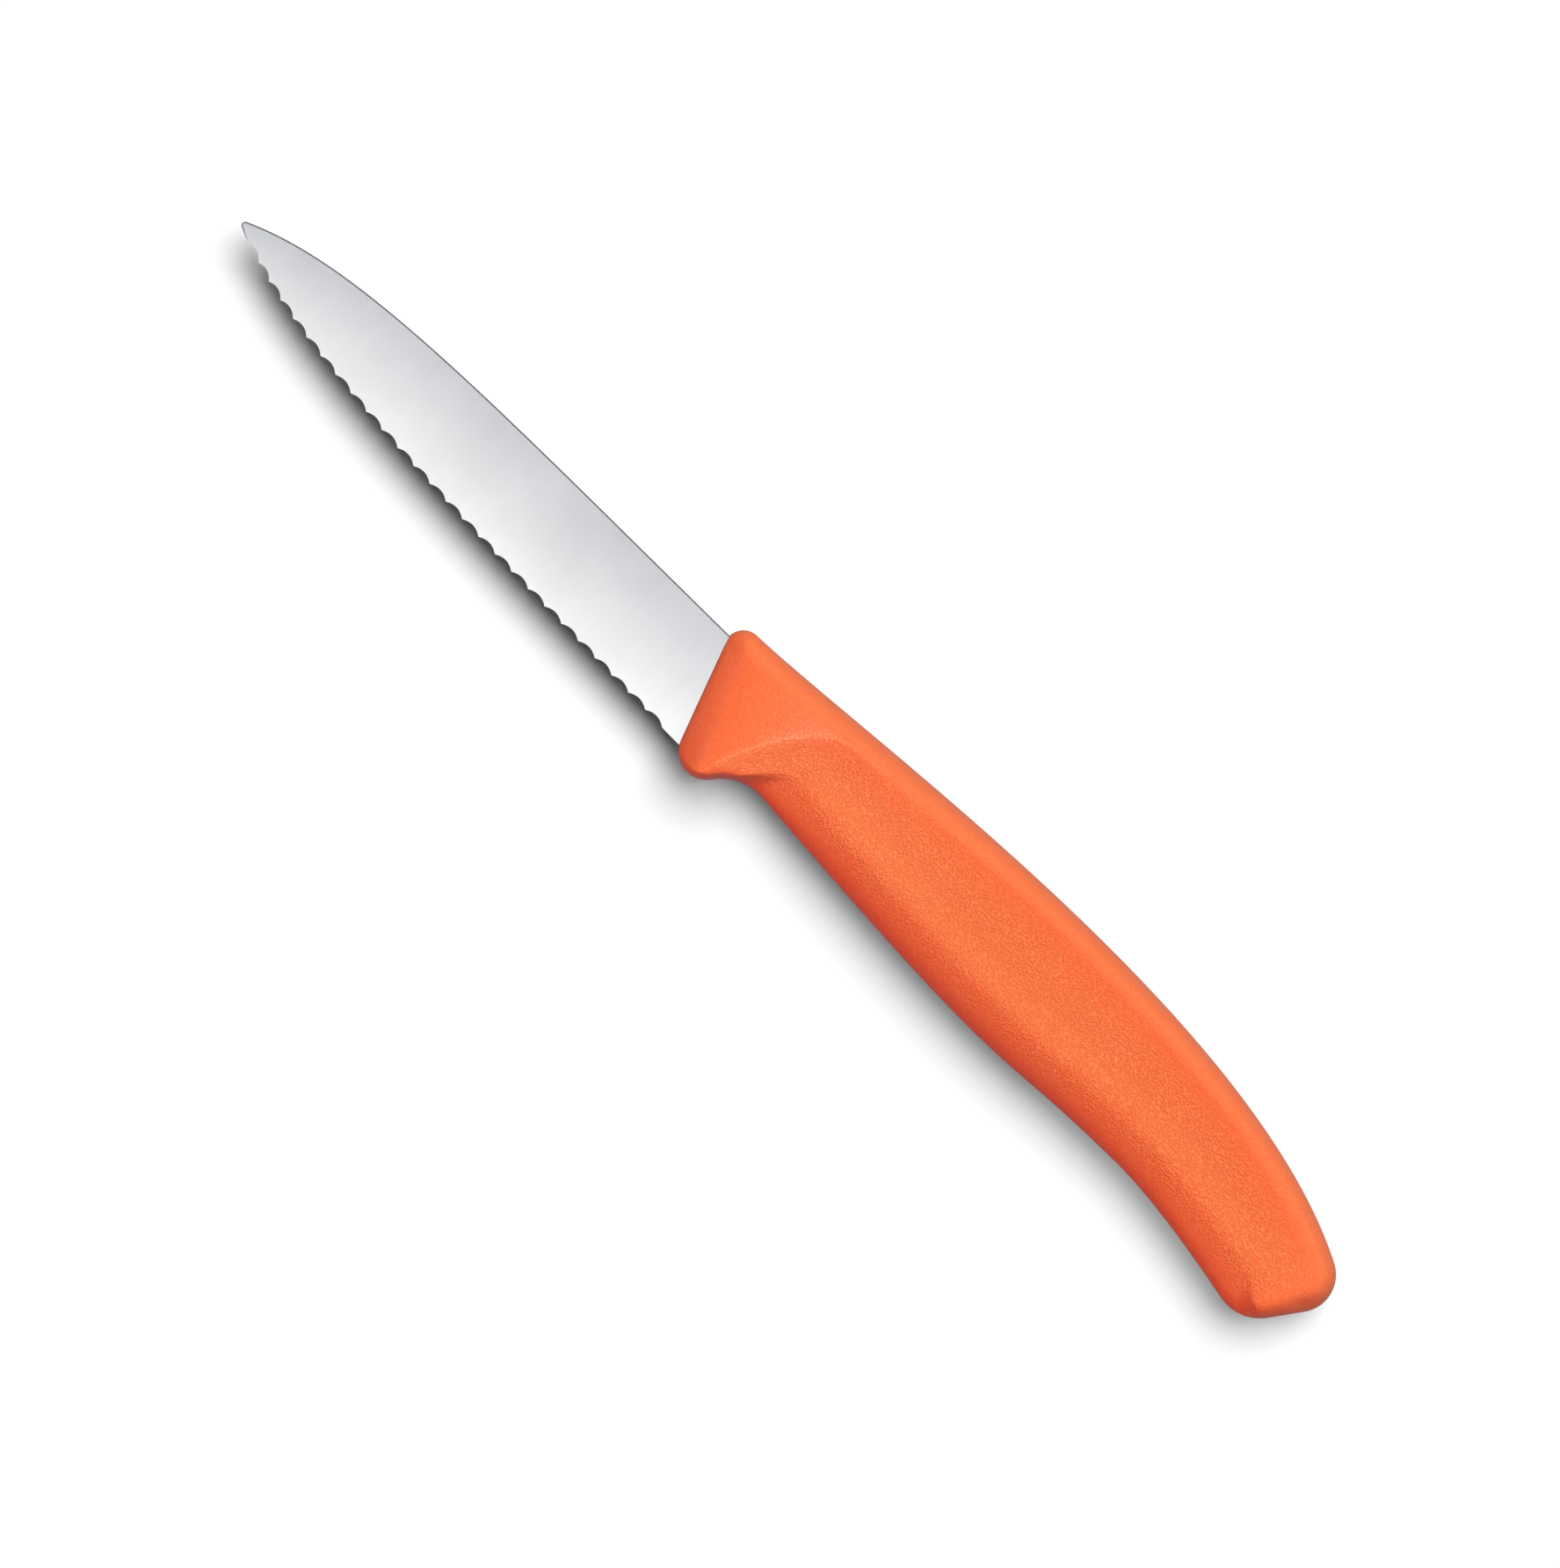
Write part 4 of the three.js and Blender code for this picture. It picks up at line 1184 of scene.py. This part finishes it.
def add_sky(stage):
    """A white background, a weak fill for matt surfaces, and for shiny ones a softbox and pale walls."""
    world = bpy.data.worlds.new("sky")
    world.use_nodes = True
    bpy.context.scene.world = world
    nodes = Nodes(world.node_tree)
    path = nodes.add("ShaderNodeLightPath")
    seen = Field(nodes, path.outputs["Is Camera Ray"])
    seen = seen.at_least(path.outputs["Is Transmission Ray"])
    mirrored = Field(nodes, path.outputs["Is Glossy Ray"])
    direction = nodes.add("ShaderNodeTexCoord").outputs["Generated"]
    middle = (0, -math.sin(stage.softbox_lean), math.cos(stage.softbox_lean))
    inputs = {0: direction, 1: middle}
    toward = nodes.field("ShaderNodeVectorMath", "Value", inputs, operation="DOT_PRODUCT")
    lit = toward.step_up(*(math.cos(stage.softbox_width * share) for share in SOFTBOX_FADE))
    split = nodes.add("ShaderNodeSeparateXYZ", {"Vector": direction})
    sideways, upward = (Field(nodes, split.outputs[axis]) for axis in ("Y", "Z"))
    walls = 1 - upward.step_up(math.sin(stage.wall_height), math.sin(2 * stage.wall_height))
    studio = lit * (stage.softbox_strength - stage.room_strength) + stage.room_strength
    studio = studio + walls * (stage.wall_strength - stage.room_strength)
    fill = sideways.step_up(-FILL_LEAN, FILL_LEAN) * (stage.sky_fill * 2)
    strength = mirrored * (studio - fill) + seen * (1 - fill) + fill
    background = world.node_tree.nodes["Background"]
    background.inputs["Color"].default_value = (1, 1, 1, 1)
    nodes.plug(strength, background.inputs["Strength"])


def add_camera(stage, origin):
    data = bpy.data.cameras.new("camera")
    data.lens = data.sensor_width * stage.view_distance / stage.view_width
    camera = bpy.data.objects.new("camera", data)
    camera.location = origin + Vector((stage.view_x, stage.view_y, stage.view_distance))
    camera.rotation_euler = (0, 0, stage.view_turn)
    bpy.context.scene.collection.objects.link(camera)
    bpy.context.scene.camera = camera


# Operators and their panel

class KNIFE_OT_make_blade(bpy.types.Operator):
    """Make the scalloped blade and its tang"""

    bl_idname = "knife.make_blade"
    bl_label = "Make blade"

    def execute(self, context):
        layout = Layout(context.scene)
        drawing = Drawing()
        drawing.add(GROUND, *ground_shell(layout))
        drawing.add(ROOT, *root_shell(layout, 0))
        drawing.add(HOLE, hole_places(layout))
        marks, axes = scallop_marks(layout)
        drawing.add(SCALLOP, marks, **axes)
        piece = drawing.make_object("scalloped_blade")
        nodes, values = blade_tree(layout.blade)
        run_tree(piece, nodes, {**values, "Material": steel_finish(layout.blade)})
        put_in_frame(piece, layout.origin, "blade")
        return {"FINISHED"}


class KNIFE_OT_make_handle(bpy.types.Operator):
    """Make the handle that is moulded round the tang"""

    bl_idname = "knife.make_handle"
    bl_label = "Make handle"

    def execute(self, context):
        layout = Layout(context.scene)
        drawing = Drawing()
        points, faces, values = moulding_shell(layout)
        drawing.add(MOULDING, points, faces, **values)
        drawing.add(GROUND, *mouth_shell(layout))
        drawing.add(ROOT, *root_shell(layout, layout.handle.mould_gap))
        drawing.add(HOLE, hole_places(layout))
        piece = drawing.make_object("moulded_handle")
        nodes, values = handle_tree(layout)
        run_tree(piece, nodes, {**values, "Material": plastic_finish(layout.handle)})
        put_in_frame(piece, layout.origin, "handle")
        return {"FINISHED"}


class KNIFE_OT_set_stage(bpy.types.Operator):
    """Set up the floor, the light and the camera"""

    bl_idname = "knife.set_stage"
    bl_label = "Set stage"

    def execute(self, context):
        stage = context.scene.knife_stage
        origin = Layout(context.scene).origin
        handle = bpy.data.objects["moulded_handle"]
        add_floor(stage)
        add_lamps(stage, bpy.data.objects["scalloped_blade"], handle)
        add_crest_lamp(stage, origin, handle)
        add_sky(stage)
        add_camera(stage, origin)
        context.scene.view_settings.view_transform = "Standard"
        return {"FINISHED"}


class KNIFE_PT_sidebar(bpy.types.Panel):
    """The knife's operators, each above its settings"""

    bl_idname = "KNIFE_PT_sidebar"
    bl_label = "Serrated paring knife"
    bl_space_type = "VIEW_3D"
    bl_region_type = "UI"
    bl_category = "Knife"

    def draw(self, context):
        scene = context.scene
        for operator, settings in (
            (KNIFE_OT_make_blade, scene.knife_blade),
            (KNIFE_OT_make_handle, scene.knife_handle),
            (KNIFE_OT_set_stage, scene.knife_stage),
        ):
            box = self.layout.box()
            box.operator(operator.bl_idname)
            for key in type(settings).__annotations__:
                box.prop(settings, key)


SETTINGS = {
    "knife_blade": BladeSettings,
    "knife_handle": HandleSettings,
    "knife_stage": StageSettings,
}
CLASSES = (
    *SETTINGS.values(),
    KNIFE_OT_make_blade,
    KNIFE_OT_make_handle,
    KNIFE_OT_set_stage,
    KNIFE_PT_sidebar,
)


def register():
    for item in CLASSES:
        bpy.utils.register_class(item)
    for key, item in SETTINGS.items():
        setattr(bpy.types.Scene, key, PointerProperty(type=item))


def unregister():
    for key in SETTINGS:
        delattr(bpy.types.Scene, key)
    for item in reversed(CLASSES):
        bpy.utils.unregister_class(item)


def main():
    register()
    bpy.ops.knife.make_blade()
    bpy.ops.knife.make_handle()
    bpy.ops.knife.set_stage()


if __name__ == "__main__":
    main()
